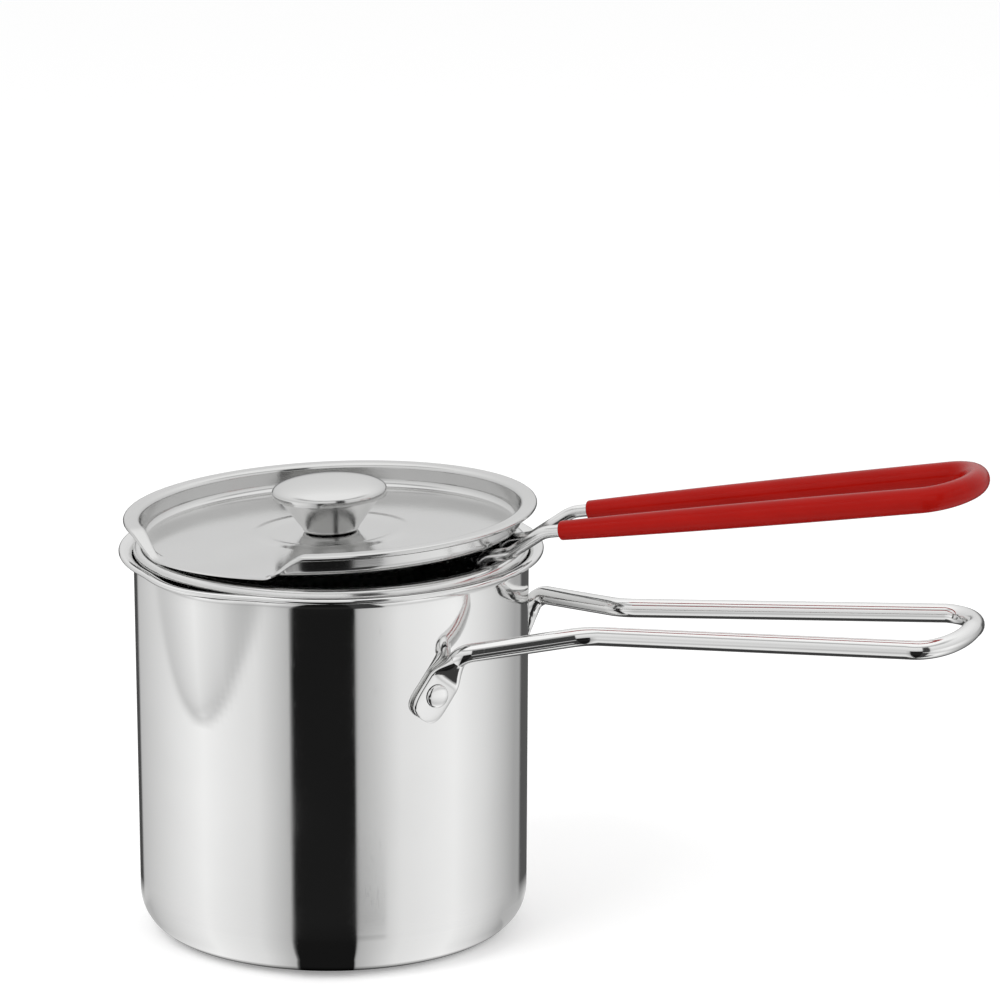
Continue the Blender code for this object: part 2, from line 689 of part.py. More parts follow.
def lid_profile():
    """Middle of the lid's sheet above its underside, from the hem's end to the screw hole."""
    base = LID_SHEET / 2
    top = base + LID_RECESS_DEPTH
    wall = LID_RECESS_RADIUS - LID_SHEET / 2
    hem = (LID_FLANGE_RADIUS - LID_SHEET / 2 - LID_HEM_RADIUS, top - LID_HEM_RADIUS)
    bend = (wall + LID_FLANGE_BEND, top - LID_FLANGE_BEND)
    corner = (wall - LID_CORNER_RADIUS, base + LID_CORNER_RADIUS)
    profile = arc(hem, LID_HEM_RADIUS, HEM_END_ANGLE, 90, BEND_STEPS)
    profile += arc(bend, LID_FLANGE_BEND, 90, 180, BEND_STEPS)
    profile += arc(corner, LID_CORNER_RADIUS, 0, -90, BEND_STEPS)
    profile.append((SCREW_RADIUS + SEAT_GAP, base))
    return profile


def lid_dip_press(profile):
    """Function that lowers the flange to the plate's level over the dip."""
    lengths = [0.0]
    for near, far in zip(profile[-2::-1], profile[-3::-1]):
        lengths.append(lengths[-1] + math.dist(near, far))
    along = {}
    for point, length in zip(profile[-2::-1], lengths):
        along[round(point[0], 7), round(point[1], 7)] = length / lengths[-1]
    flat = profile[-2][0]

    def press(point):
        radius = math.hypot(point.x, point.y)
        if radius <= flat:
            return point
        offset = abs(angle_from(SPOUT_ANGLE, point.x, point.y)) - LID_DIP_HALF_ANGLE
        depth = 1 - smooth_share(offset / LID_DIP_RAMP_ANGLE)
        share = along[min(along, key=lambda at: math.dist(at, (radius, point.z)))]
        reach = blend(radius, blend(flat, LID_DIP_REACH, share), depth)
        height = blend(point.z, LID_SHEET / 2, depth)
        return Vector((point.x * reach / radius, point.y * reach / radius, height))

    return press


def lid_tilt():
    """Slope of the lid, whose far side lies on the rolled rim and whose near side lies on the wires."""
    nested = BEAD_RADIUS + LID_CORNER_RADIUS + LID_SEAT_GAP
    overhang = BEAD_REACH - LID_FLAT_RADIUS
    far_height = math.sqrt(nested**2 - overhang**2) - LID_CORNER_RADIUS
    slope = (WIRE_CREST_RISE - WIRE_SHOULDER_RISE) / (WIRE_CREST_REACH - wire_leg_reach())
    wire_height = WIRE_SHOULDER_RISE + slope * (LID_FLAT_RADIUS - wire_leg_reach())
    near_height = wire_height + WIRE_RADIUS + LID_SEAT_GAP
    rise = (near_height - far_height) / 2
    return math.asin(rise / LID_FLAT_RADIUS), far_height + rise


def build_lid(lid):
    profile = lid_profile()
    press = lid_dip_press(profile)
    sheet_piece("lid_pan", profile, ROUND_SEGMENTS, LID_SHEET, POLISHED, lid, press=press)


def build_knob(lid):
    base = KNOB_BASE_HEIGHT + KNOB_SHEET / 2
    rim = KNOB_BASE_HEIGHT + KNOB_CONE_HEIGHT
    hole = SCREW_RADIUS + SEAT_GAP
    rim_middle = KNOB_RIM_RADIUS - 3 * KNOB_SHEET / 2 - SEAT_GAP
    base_middle = KNOB_BASE_RADIUS - KNOB_SHEET / 2
    cone = [(rim_middle, rim - KNOB_SHEET), (rim_middle - KNOB_BEND, rim - KNOB_SHEET - KNOB_BEND)]
    flare = blend(base_middle, rim_middle, KNOB_FLARE_RADIUS_SHARE)
    cone.append((flare, blend(base, rim, KNOB_FLARE_HEIGHT_SHARE)))
    cone.append((base_middle, base + KNOB_BEND))
    cone.append((base_middle - KNOB_BEND, base))
    cone.append((hole, base))
    sheet_piece("knob_cone", cone, KNOB_SEGMENTS, KNOB_SHEET, POLISHED, lid)

    skirt = KNOB_RIM_RADIUS - KNOB_SHEET / 2
    cap = [(skirt, rim - KNOB_SKIRT), (skirt, rim)]
    for step in range(1, KNOB_DOME_STEPS + 1):
        turn = math.pi / 2 * step / KNOB_DOME_STEPS
        cap.append((skirt * math.cos(turn), rim + KNOB_DOME_HEIGHT * math.sin(turn)))
    cap[-1] = (0, rim + KNOB_DOME_HEIGHT)
    sheet_piece("knob_cap", cap, KNOB_SEGMENTS, KNOB_SHEET, POLISHED, lid)


def build_knob_fixings(lid):
    nut_base = KNOB_BASE_HEIGHT + KNOB_SHEET + SEAT_GAP
    nut = [
        (NUT_RADIUS, nut_base + NUT_HEIGHT),
        (NUT_RADIUS, nut_base),
        (SCREW_RADIUS + SEAT_GAP, nut_base),
        (SCREW_RADIUS + SEAT_GAP, nut_base + NUT_HEIGHT),
        (NUT_RADIUS, nut_base + NUT_HEIGHT),
    ]
    turned_piece("knob_nut", nut, NUT_SIDES, ZINC, lid)

    washer_top = -SEAT_GAP
    washer_base = washer_top - WASHER_THICKNESS
    washer = [
        (WASHER_RADIUS, washer_top),
        (WASHER_RADIUS, washer_base),
        (SCREW_RADIUS + SEAT_GAP, washer_base),
        (SCREW_RADIUS + SEAT_GAP, washer_top),
        (WASHER_RADIUS, washer_top),
    ]
    turned_piece("knob_washer", washer, SMALL_SEGMENTS, ZINC, lid)

    head_top = washer_base - SEAT_GAP
    head_base = head_top - SCREW_HEAD_HEIGHT
    tip = nut_base + NUT_HEIGHT + SCREW_TIP_REACH
    narrow = SCREW_RADIUS * SCREW_TIP_SHARE
    screw = [(0, tip), (narrow, tip), (SCREW_RADIUS, tip - SCREW_RADIUS + narrow), (SCREW_RADIUS, head_top)]
    screw += [(SCREW_HEAD_RADIUS * out, head_top - SCREW_HEAD_HEIGHT * down) for out, down in SCREW_HEAD_SHARES]
    piece = turned_piece("knob_screw", screw, SMALL_SEGMENTS, ZINC, lid)
    slot = bmesh.new()
    size = (3 * SCREW_HEAD_RADIUS, SCREW_SLOT_WIDTH, 2 * SCREW_SLOT_DEPTH)
    place = Matrix.Translation((0, 0, head_base)) @ Matrix.Diagonal((*size, 1))
    bmesh.ops.create_cube(slot, size=1, matrix=place)
    mesh = bpy.data.meshes.new("screw_slot_cutter")
    slot.to_mesh(mesh)
    slot.free()
    cutter = bpy.data.objects.new("screw_slot_cutter", mesh)
    cutter.parent = lid
    cutter.hide_render = True
    cutter.display_type = "WIRE"
    CUTTERS.objects.link(cutter)
    add_cut(piece, cutter)


clear_scene()
PARTS = new_collection("deep_fry_pot")
CUTTERS = new_collection("cutters")
POLISHED = new_material("polished_steel", (0.80, 0.80, 0.79), 0.12, 1.0)
BRUSHED = new_material("satin_steel", (0.72, 0.72, 0.71), 0.26, 1.0)
ZINC = new_material("zinc_steel", (0.60, 0.61, 0.62), 0.35, 1.0)
VINYL = new_material("red_vinyl", (0.58, 0.025, 0.018), 0.28, 0.0)

rivet_holes = build_pot()
build_pot_handle(rivet_holes)
build_rivets()

basket_seat = new_empty("basket_seat", (0, 0, BASKET_RIM_HEIGHT))
build_basket(basket_seat)
build_basket_handle(basket_seat)

tilt, lid_rise = lid_tilt()
lid_seat = new_empty("lid_seat", (0, 0, BASKET_RIM_HEIGHT + lid_rise), (0, -tilt, 0))
build_lid(lid_seat)
build_knob(lid_seat)
build_knob_fixings(lid_seat)
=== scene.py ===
"""Looks of the deep fry pot: fine surfaces, finishes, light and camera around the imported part.

Lengths are in metres and angles in degrees. The middle of the pot's underside is the origin and both handles
point along +X.
"""

import math

import bmesh
import bpy
from mathutils import Matrix, Vector
from mathutils.geometry import delaunay_2d_cdt


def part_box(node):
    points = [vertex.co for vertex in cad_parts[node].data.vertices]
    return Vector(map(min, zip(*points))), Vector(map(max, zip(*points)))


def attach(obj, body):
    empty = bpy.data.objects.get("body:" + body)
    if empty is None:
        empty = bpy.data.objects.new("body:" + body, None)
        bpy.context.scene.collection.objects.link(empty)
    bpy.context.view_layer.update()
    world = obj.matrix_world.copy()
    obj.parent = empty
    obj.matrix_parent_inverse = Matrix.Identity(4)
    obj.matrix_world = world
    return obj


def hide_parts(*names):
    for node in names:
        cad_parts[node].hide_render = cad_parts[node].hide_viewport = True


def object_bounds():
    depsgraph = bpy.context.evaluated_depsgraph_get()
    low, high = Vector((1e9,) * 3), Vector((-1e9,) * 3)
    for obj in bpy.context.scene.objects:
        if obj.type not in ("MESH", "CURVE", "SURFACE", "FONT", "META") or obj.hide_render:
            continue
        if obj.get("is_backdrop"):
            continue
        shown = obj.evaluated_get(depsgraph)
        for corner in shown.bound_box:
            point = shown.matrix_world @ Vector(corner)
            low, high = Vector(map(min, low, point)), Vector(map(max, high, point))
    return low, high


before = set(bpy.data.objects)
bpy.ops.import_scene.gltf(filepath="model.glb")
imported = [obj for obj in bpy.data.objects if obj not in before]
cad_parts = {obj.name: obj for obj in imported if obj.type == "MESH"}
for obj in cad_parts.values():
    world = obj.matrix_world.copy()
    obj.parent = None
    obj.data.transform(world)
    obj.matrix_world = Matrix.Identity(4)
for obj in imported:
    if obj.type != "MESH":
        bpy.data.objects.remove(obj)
CAD_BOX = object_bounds()

# Fits and fineness
SEAT_GAP = 0.0003
LID_SEAT_GAP = 0.0006
MERGE_LIMIT = 0.000001
ROUND_SEGMENTS = 220
BEND_STEPS = 10
PATH_BEND_STEPS = 14
SHARP_ANGLE = 38
NEARLY_PARALLEL = 0.99

# Pot
POT_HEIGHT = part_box("pot_body")[1].z
POT_SHEET = 0.0007
POT_MOUTH_RADIUS = 0.0702
POT_FOOT_RADIUS = 0.0695
POT_CORNER_RADIUS = 0.0140
POT_BASE_RING = 0.0520
POT_BASE_DISH = 0.0004
LIP_RADIUS = 0.0046
HEM_RADIUS = 0.0007
HEM_END_ANGLE = -120
POT_WALL_ROWS = 46
POT_DISH_EDGE_SHARE = 0.1
POT_BASE_SHARES = (1.0, 0.96, 0.8, 0.5, 0.0)

# Pouring spout
SPOUT_ANGLE = -110
SPOUT_HALF_ANGLE = 22.5
SPOUT_REACH = 0.0040
SPOUT_DEPTH = 0.0490
SPOUT_LIP_POWER = 2
SPOUT_TIP_POWER = 0.9
SPOUT_FOOT_POWER = 0.55

# Pot handle
ROD_RADIUS = 0.0033
ROD_SIDES = 28
EAR_ANGLE = 39
EAR_SLANT = 37
EAR_THICKNESS = 0.0022
EAR_HALF_WIDTH = 0.0066
EAR_FOOT = 0.0096
EAR_NECK = 0.0140
EAR_NECK_SHIFT = 0.0014
EAR_TIP_SHARE = 0.36
EAR_TIP_THICKNESS_SHARE = 0.55
EAR_FOOT_STEPS = 18
EAR_NECK_STEPS = 14
EAR_END_POWER = 3.5
PLATE_SECTION_POWER = 3.6
ROD_SECTION_POWER = 2
RIVET_DROP = 0.0383
KNEE_ANGLE = 33
KNEE_STANDOFF = 0.0068
KNEE_DROP = 0.0234
KNEE_BEND_RADIUS = 0.0050
WAIST_REACH = 0.1020
WAIST_SPREAD = 0.0195
WAIST_DROP = 0.0193
WAIST_BEND_RADIUS = 0.0180
LOOP_REACH = 0.2190
LOOP_SPREAD = 0.0250
LOOP_DEPTH = 0.0155
LOOP_DROP = 0.0121
LOOP_TIP_RISE = 0.0020
LOOP_STEPS = 28

# Rivets
RIVET_SHANK_RADIUS = 0.0023
RIVET_HEAD_RADIUS = 0.0042
RIVET_HEAD_HEIGHT = 0.0011
RIVET_TAIL_RADIUS = 0.0045
RIVET_TAIL_HEIGHT = 0.0012
RIVET_DOME_POWER = 0.8
RIVET_HEAD_STEPS = 14
RIVET_TAIL_STEPS = 12
RIVET_SEGMENTS = 48

# Basket
BASKET_FOOT_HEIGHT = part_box("basket_wall")[0].z
BASKET_MOUTH_RADIUS = 0.0653
BASKET_FOOT_RADIUS = 0.0650
BASKET_SHEET = 0.0006
BASKET_DEPTH = 0.1130
BEAD_RADIUS = 0.0028
BEAD_END_ANGLE = -115
BEAD_STEPS = 20
COLLAR_SHARES = (0.3, 0.65, 1.0)
FOOT_BAND_SHARES = (0.35, 0.7, 1.0)
BOTTOM_SKIRT = 0.0055
BOTTOM_SKIRT_SHARE = 0.3
BOTTOM_CORNER_RADIUS = 0.0035
BOTTOM_CORNER_STEPS = 8

# Fine drain holes, in staggered rows
HOLE_RADIUS = 0.00096
HOLE_SIDES = 16
HOLE_COLUMNS = 110
HOLE_ROW_PITCH = 0.0032
FIRST_HOLE_DROP = 0.0120
HOLE_ROWS = 29
SEAM_ANGLE = -10
SEAM_HALF_ANGLE = 9
BOTTOM_HOLE_FIELD = 0.0565
BOTTOM_HOLE_SIDES = 12

# Spot welds that show outside the basket's wall over the wire's two legs
WELD_DROPS = (0.0092, 0.0254)
WELD_RADIUS = 0.0021
WELD_HEIGHT = 0.00035
WELD_STEPS = 10
WELD_SEGMENTS = 32

# Basket handle and its sleeve
WIRE_RADIUS = 0.0022
WIRE_SPREAD = 0.0120
WIRE_LEG_DROP = 0.0310
WIRE_CREST_REACH = 0.0715
WIRE_CREST_RISE = 0.0067
WIRE_SHOULDER_RISE = 0.0045
GRIP_START_REACH = 0.0850
GRIP_START_RISE = 0.0163
GRIP_START_SPREAD = 0.0150
GRIP_LOOP_REACH = 0.2210
GRIP_LOOP_RISE = 0.0400
GRIP_LOOP_SPREAD = 0.0195
GRIP_LOOP_DEPTH = 0.0135
WIRE_SHOULDER_BEND = 0.0045
WIRE_CREST_BEND = 0.0070
WIRE_NECK_BEND = 0.0120
GRIP_MOUTH_WALL = 0.0009
GRIP_WALL = 0.0019
GRIP_SWELL_LENGTH = 0.1050
GRIP_SETBACK = 0.0060
GRIP_MOUTH_ROUND = 0.0007
GRIP_MOUTH_STEPS = 6
GRIP_SWELL_STEPS = 24
TUBE_SIDES = 28

# Lid
LID_RECESS_RADIUS = 0.0680
LID_FLANGE_RADIUS = 0.0735
LID_RECESS_DEPTH = 0.0086
LID_SHEET = 0.0006
LID_HEM_RADIUS = 0.0007
LID_FLANGE_BEND = 0.0015
LID_CORNER_RADIUS = 0.0033
LID_DIP_REACH = 0.0700
LID_DIP_HALF_ANGLE = 21
LID_DIP_RAMP_ANGLE = 13
LID_BEND_STEPS = 8
LID_SEGMENTS = 288
LID_RING_RADIUS = 0.0250
LID_RING_HALF_WIDTH = 0.0046
LID_RING_RISE = 0.00034
LID_RING_STEPS = 20
LID_OUTER_SHARES = (0.97, 0.8, 0.55)
LID_INNER_SHARES = (0.22, 0.12)

# Knob
KNOB_BASE_RADIUS = 0.0102
KNOB_RIM_RADIUS = 0.0205
KNOB_CONE_HEIGHT = 0.0142
KNOB_DOME_HEIGHT = 0.0050
KNOB_SKIRT = 0.0016
KNOB_SHEET = 0.0006
KNOB_BEND = 0.0010
KNOB_CONE_STEPS = 12
KNOB_DOME_STEPS = 24
KNOB_SEGMENTS = 120
KNOB_FLARE_RADIUS_SHARE = 0.42
KNOB_FLARE_HEIGHT_SHARE = 0.46
SCREW_RADIUS = 0.0020

# Finishes
NOISE_RANGE = (0.3, 0.7)
SMEAR_SCALE = 26.0
SCRATCH_SCALE = (2600.0, 180.0, 240.0)
SCRATCH_RANGE = (0.62, 0.75)
SCRATCH_ROUGHNESS = 0.05
SCRATCH_DEPTH = -0.35
VINYL_RED = (0.335, 0.004, 0.002)
VINYL_TINTS = ((0.285, 0.003, 0.001), (0.385, 0.006, 0.003))
VINYL_GLOSS = (0.16, 0.26)
VINYL_SPECULAR = 0.13
VINYL_CLOUD_SCALE = (30.0, 160.0, 160.0)
VINYL_STREAK_SCALE = (40.0, 800.0, 800.0)
ZINC_GREY = (0.60, 0.61, 0.62)
ZINC_TINTS = ((0.50, 0.51, 0.53), (0.68, 0.69, 0.70))
ZINC_GLOSS = (0.26, 0.42)

# Camera: the photograph's viewing angle, with the pot's mouth at a named pixel of a 1000 pixel square
CAMERA_AZIMUTH = 21
CAMERA_ELEVATION = 14.6
CAMERA_DISTANCE = 2.0
METRES_PER_PIXEL = 0.0003555
MOUTH_PIXEL = (331, 543)
IMAGE_SIDE = 1000
SENSOR_WIDTH = 36
CLIP_END = 100

# Levels of the studio that steel mirrors, by degrees round from the camera's side
STUDIO_LEVELS = (
    (-180, 0.10),
    (-159, 0.06),
    (-154.5, 0.58),
    (-120, 0.84),
    (-82, 1.14),
    (-45, 0.92),
    (-24.6, 0.57),
    (-23.7, 0.010),
    (13.0, 0.010),
    (14.2, 0.56),
    (40, 0.96),
    (76, 1.10),
    (100, 0.88),
    (135, 0.45),
    (144, 0.43),
    (147, 0.10),
    (180, 0.10),
)

# Other marks of that studio, in degrees round from the camera's side or up from eye level, and levels
DARK_LEVEL = 0.05
GAP_WING = (12, 31)
GAP_WING_TOP = (38, 48)
POT_WALL_BAND = (-20, -13)
HORIZON = (-3, 5)
SKY_LEVELS = (0.72, 1.15)
SKY_TOP = 60
CEILING_SIDES = (-100, 100)
CEILING_BAND = (43, 56)
CEILING_SHADE = 0.55
SHADE_BAND = (-38, -22)
SHADE_SHARE = 0.30
UNDERSIDE = (-50, -60)
LEFT_UNDERSIDE = (-172, -62)
RIGHT_UNDERSIDE = (22, 64)
MATT_LEVEL = 0.80

# How far along the handles the lamps aim
LAMP_AIM_REACH = 0.03

# Floor, and the levels of the painted reflection, with a painted contact shadow, that the floor glows for
# steel close above it to mirror
FLOOR_SIZE = 30
FLOOR_DROP = 0.0002
FLOOR_COLOUR = 0.86
FLOOR_LIFT = 0.26
PAINTED_REFLECTION_SIDES = (66, 74)
PAINTED_REFLECTION_SIDE_LEVEL = 0.55
PAINTED_REFLECTION_BACK = (98, 110)
PAINTED_REFLECTION_BACK_LEVEL = 0.84
PAINTED_REFLECTION_BACK_GAP = ((163, 165), (-171, -169))
PAINTED_SHADOW_AND_GAP_LEVEL = 0.10
PAINTED_REFLECTION_STRENGTH = 0.93
PAINTED_CONTACT_SHADOW_EDGE = (0.0600, 0.0635)
PAINTED_REFLECTION_FADE = (0.037, 0.066)

# Sizes that follow from those above
POT_MOUTH_MIDDLE = POT_MOUTH_RADIUS - POT_SHEET / 2
POT_FOOT_MIDDLE = POT_FOOT_RADIUS - POT_SHEET / 2
LIP_START = POT_HEIGHT - POT_SHEET / 2 - LIP_RADIUS
CORNER_TOP = POT_SHEET / 2 + POT_CORNER_RADIUS
BASKET_MOUTH_MIDDLE = BASKET_MOUTH_RADIUS - BASKET_SHEET / 2
BASKET_FOOT_MIDDLE = BASKET_FOOT_RADIUS - BASKET_SHEET / 2
BEAD_MIDDLE = BEAD_RADIUS - BASKET_SHEET / 2
BEAD_REACH = BASKET_MOUTH_MIDDLE + BEAD_MIDDLE
BASKET_RIM_HEIGHT = BASKET_FOOT_HEIGHT + BASKET_DEPTH
LID_FLAT_RADIUS = LID_RECESS_RADIUS - LID_CORNER_RADIUS
KNOB_BASE_HEIGHT = LID_SHEET + SEAT_GAP


def blend(start, end, share):
    return start + (end - start) * share


def smooth_share(share):
    share = min(max(share, 0.0), 1.0)
    return share * share * (3 - 2 * share)


def arc(centre, radius, start, end, steps=BEND_STEPS):
    angles = [math.radians(blend(start, end, step / steps)) for step in range(steps + 1)]
    return [(centre[0] + radius * math.cos(a), centre[1] + radius * math.sin(a)) for a in angles]


def angle_from(middle, x, y):
    return (math.degrees(math.atan2(y, x)) - middle + 180) % 360 - 180


def add_piece(name, data, material, body, place=None):
    item = bpy.data.objects.new(name, data)
    bpy.context.scene.collection.objects.link(item)
    data.materials.clear()
    data.materials.append(material)
    if place:
        item.matrix_world = place
    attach(item, body)
    return item


def smoothed(mesh):
    mesh.shade_smooth()
    mesh.set_sharp_from_angle(angle=math.radians(SHARP_ANGLE))
    return mesh


def closed_mesh(name, points, faces):
    """Mesh with its doubled points merged and its faces pointing out."""
    shape = bmesh.new()
    corners = [shape.verts.new(point) for point in points]
    for face in faces:
        shape.faces.new([corners[index] for index in face])
    bmesh.ops.remove_doubles(shape, verts=shape.verts, dist=MERGE_LIMIT)
    bmesh.ops.recalc_face_normals(shape, faces=shape.faces)
    mesh = bpy.data.meshes.new(name)
    shape.to_mesh(mesh)
    shape.free()
    return mesh


def ring_faces(rings, sides, closed_along=False):
    """Quads between rings of points, each ring closed on itself."""
    faces = []
    for ring in range(rings if closed_along else rings - 1):
        ahead = (ring + 1) % rings * sides
        here = ring * sides
        for side in range(sides):
            after = (side + 1) % sides
            faces.append((here + side, here + after, ahead + after, ahead + side))
    return faces


def turned_points(profile, segments, press=None):
    points = []
    for radius, height in profile:
        for segment in range(segments):
            angle = 2 * math.pi * segment / segments
            point = Vector((radius * math.cos(angle), radius * math.sin(angle), height))
            points.append(press(point) if press else point)
    return points


def open_mesh(name, points, faces):
    """Mesh of an open surface, without the faces that a point on the axis shuts."""
    mesh = closed_mesh(name, points, faces)
    shape = bmesh.new()
    shape.from_mesh(mesh)
    flat = [face for face in shape.faces if face.calc_area() < MERGE_LIMIT**2]
    bmesh.ops.delete(shape, geom=flat, context="FACES")
    shape.to_mesh(mesh)
    shape.free()
    return mesh


def sheeted(mesh, sheet):
    """The open surface with its sheet thickness, half to each side."""
    guide = bpy.data.objects.new(mesh.name, mesh)
    bpy.context.scene.collection.objects.link(guide)
    shell = guide.modifiers.new("Sheet", "SOLIDIFY")
    shell.thickness = sheet
    shell.offset = 0
    evaluated = guide.evaluated_get(bpy.context.evaluated_depsgraph_get())
    solid = bpy.data.meshes.new_from_object(evaluated)
    bpy.data.objects.remove(guide, do_unlink=True)
    return solid


def turned_sheet(name, profile, segments, sheet, press=None):
    points = turned_points(profile, segments, press)
    surface = open_mesh(name, points, ring_faces(len(profile), segments))
    return smoothed(sheeted(surface, sheet))


def turned_solid(name, profile, segments):
    points = turned_points(profile, segments)
    return smoothed(closed_mesh(name, points, ring_faces(len(profile), segments)))


def even_normals(item):
    """Lets the large faces rule the shading, so that long flats next to small bends mirror cleanly."""
    weighted = item.modifiers.new("Even normals", "WEIGHTED_NORMAL")
    weighted.weight = 100
    weighted.keep_sharp = True


def frame_towards(direction, location):
    return Matrix.Translation(location) @ Vector(direction).to_track_quat("Z", "Y").to_matrix().to_4x4()


def rounded_path(corners, bends):
    points = [Vector(corners[0])]
    for index in range(1, len(corners) - 1):
        corner = Vector(corners[index])
        back = (Vector(corners[index - 1]) - corner).normalized()
        ahead = (Vector(corners[index + 1]) - corner).normalized()
        half = back.angle(ahead) / 2
        bend = bends[index - 1]
        reach = bend / math.tan(half)
        centre = corner + (back + ahead).normalized() * (bend / math.sin(half))
        start = (corner + back * reach - centre).normalized()
        end = (corner + ahead * reach - centre).normalized()
        for step in range(PATH_BEND_STEPS + 1):
            points.append(centre + start.slerp(end, step / PATH_BEND_STEPS) * bend)
    points.append(Vector(corners[-1]))
    return points


def wall_radius(height):
    share = (height - CORNER_TOP) / (LIP_START - CORNER_TOP)
    return blend(POT_FOOT_RADIUS, POT_MOUTH_RADIUS, share)


def basket_middle(height):
    """Radius of the middle of the basket's sheet at a height below its rim."""
    return blend(BASKET_MOUTH_MIDDLE, BASKET_FOOT_MIDDLE, -height / BASKET_DEPTH)


# Finishes


def socket(tree, target, value):
    if isinstance(value, bpy.types.NodeSocket):
        tree.links.new(value, target)
    else:
        target.default_value = value


def add_node(tree, kind, inputs=None, **settings):
    made = tree.nodes.new(kind)
    for name, value in settings.items():
        setattr(made, name, value)
    for name, value in (inputs or {}).items():
        socket(tree, made.inputs[name], value)
    return made


def calculate(tree, operation, *values):
    made = add_node(tree, "ShaderNodeMath", operation=operation)
    for index, value in enumerate(values):
        socket(tree, made.inputs[index], value)
    return made.outputs[0]


def spread_to(tree, value, low, high, new_low, new_high):
    made = add_node(
        tree,
        "ShaderNodeMapRange",
        {"Value": value, "From Min": low, "From Max": high, "To Min": new_low, "To Max": new_high},
    )
    return made.outputs["Result"]


def noise(tree, vector, scale, detail=3.0, roughness=0.5):
    inputs = {"Vector": vector, "Scale": scale, "Detail": detail, "Roughness": roughness}
    return add_node(tree, "ShaderNodeTexNoise", inputs).outputs["Fac"]


def stretched(tree, vector, scale):
    inputs = {"Vector": vector, "Scale": scale}
    return add_node(tree, "ShaderNodeMapping", inputs).outputs["Vector"]


def object_place(tree):
    return add_node(tree, "ShaderNodeTexCoord").outputs["Object"]


def place_round_axis(tree, place):
    """Angle, distance from the axis and height, in which turned polishing lines run along the first value."""
    parts = add_node(tree, "ShaderNodeSeparateXYZ", {"Vector": place})
    x, y, z = parts.outputs
    angle = calculate(tree, "ARCTAN2", y, x)
    squares = calculate(tree, "ADD", calculate(tree, "MULTIPLY", x, x), calculate(tree, "MULTIPLY", y, y))
    distance = calculate(tree, "SQRT", squares)
    return add_node(tree, "ShaderNodeCombineXYZ", {"X": angle, "Y": distance, "Z": z}).outputs["Vector"]


def new_finish(name, colour, metallic):
    material = bpy.data.materials.new(name)
    material.use_nodes = True
    tree = material.node_tree
    shader = tree.nodes["Principled BSDF"]
    shader.inputs["Base Color"].default_value = (*colour, 1)
    shader.inputs["Metallic"].default_value = metallic
    return material, tree, shader


def mixed(tree, share, first, second):
    """Colour between two colours or links."""
    made = add_node(tree, "ShaderNodeMix", data_type="RGBA")
    socket(tree, made.inputs["Factor"], share)
    colours = [item for item in made.inputs if item.type == "RGBA"]
    socket(tree, colours[0], first)
    socket(tree, colours[1], second)
    return next(item for item in made.outputs if item.type == "RGBA")


def mixed_shader(tree, share, first, second):
    made = add_node(tree, "ShaderNodeMixShader", {"Fac": share})
    tree.links.new(first.outputs[0], made.inputs[1])
    tree.links.new(second.outputs[0], made.inputs[2])
    return made


def dot_product(tree, vector, direction):
    made = add_node(tree, "ShaderNodeVectorMath", operation="DOT_PRODUCT")
    socket(tree, made.inputs[0], vector)
    socket(tree, made.inputs[1], direction)
    return made.outputs["Value"]


def grey(tree, level):
    return add_node(tree, "ShaderNodeCombineXYZ", {"X": level, "Y": level, "Z": level}).outputs["Vector"]


def plain_grey(level):
    return (level, level, level, 1)


def tinted(tree, value, dark, light):
    return mixed(tree, value, (*dark, 1), (*light, 1))


def add_bump(tree, shader, height, depth):
    made = add_node(tree, "ShaderNodeBump", {"Height": height, "Strength": 1.0, "Distance": depth})
    socket(tree, shader.inputs["Normal"], made.outputs["Normal"])


def steel(name, dark, light, smooth, rough, line_scale, line_depth):
    """Steel with polishing lines, soft smears in its gloss, and fine scratches."""
    material, tree, shader = new_finish(name, light, 1.0)
    place = object_place(tree)
    line_place = stretched(tree, place_round_axis(tree, place), line_scale)
    lines = noise(tree, line_place, 1.0, detail=4.0, roughness=0.6)
    smears = noise(tree, place, SMEAR_SCALE)
    scratches = noise(tree, stretched(tree, place, SCRATCH_SCALE), 1.0, detail=2.0)
    scratches = spread_to(tree, scratches, *SCRATCH_RANGE, 0.0, 1.0)
    socket(tree, shader.inputs["Base Color"], tinted(tree, smears, dark, light))
    gloss = spread_to(tree, smears, *NOISE_RANGE, smooth, rough)
    gloss = calculate(tree, "MULTIPLY_ADD", scratches, SCRATCH_ROUGHNESS, gloss)
    socket(tree, shader.inputs["Roughness"], gloss)
    height = calculate(tree, "MULTIPLY_ADD", scratches, SCRATCH_DEPTH, lines)
    add_bump(tree, shader, height, line_depth)
    return material


def vinyl(name):
    """Dip-moulded vinyl: glossy, with a soft orange peel and faint flow streaks along the sleeve."""
    material, tree, shader = new_finish(name, VINYL_RED, 0.0)
    place = object_place(tree)
    cloud = noise(tree, stretched(tree, place, VINYL_CLOUD_SCALE), 1.0)
    peel = noise(tree, place, scale=700.0, detail=2.0)
    streaks = noise(tree, stretched(tree, place, VINYL_STREAK_SCALE), 1.0, detail=2.0)
    socket(tree, shader.inputs["Base Color"], tinted(tree, cloud, *VINYL_TINTS))
    socket(tree, shader.inputs["Roughness"], spread_to(tree, cloud, *NOISE_RANGE, *VINYL_GLOSS))
    shader.inputs["Specular IOR Level"].default_value = VINYL_SPECULAR
    height = calculate(tree, "MULTIPLY_ADD", streaks, 0.6, peel)
    add_bump(tree, shader, height, depth=0.00003)
    return material


def zinc(name):
    """Zinc plated steel: dull, with a mottled spangle."""
    material, tree, shader = new_finish(name, ZINC_GREY, 1.0)
    place = object_place(tree)
    spangle = noise(tree, place, scale=700.0, detail=2.0)
    socket(tree, shader.inputs["Base Color"], tinted(tree, spangle, *ZINC_TINTS))
    socket(tree, shader.inputs["Roughness"], spread_to(tree, spangle, *NOISE_RANGE, *ZINC_GLOSS))
    add_bump(tree, shader, noise(tree, place, scale=1600.0), depth=0.00002)
    return material


# Pot


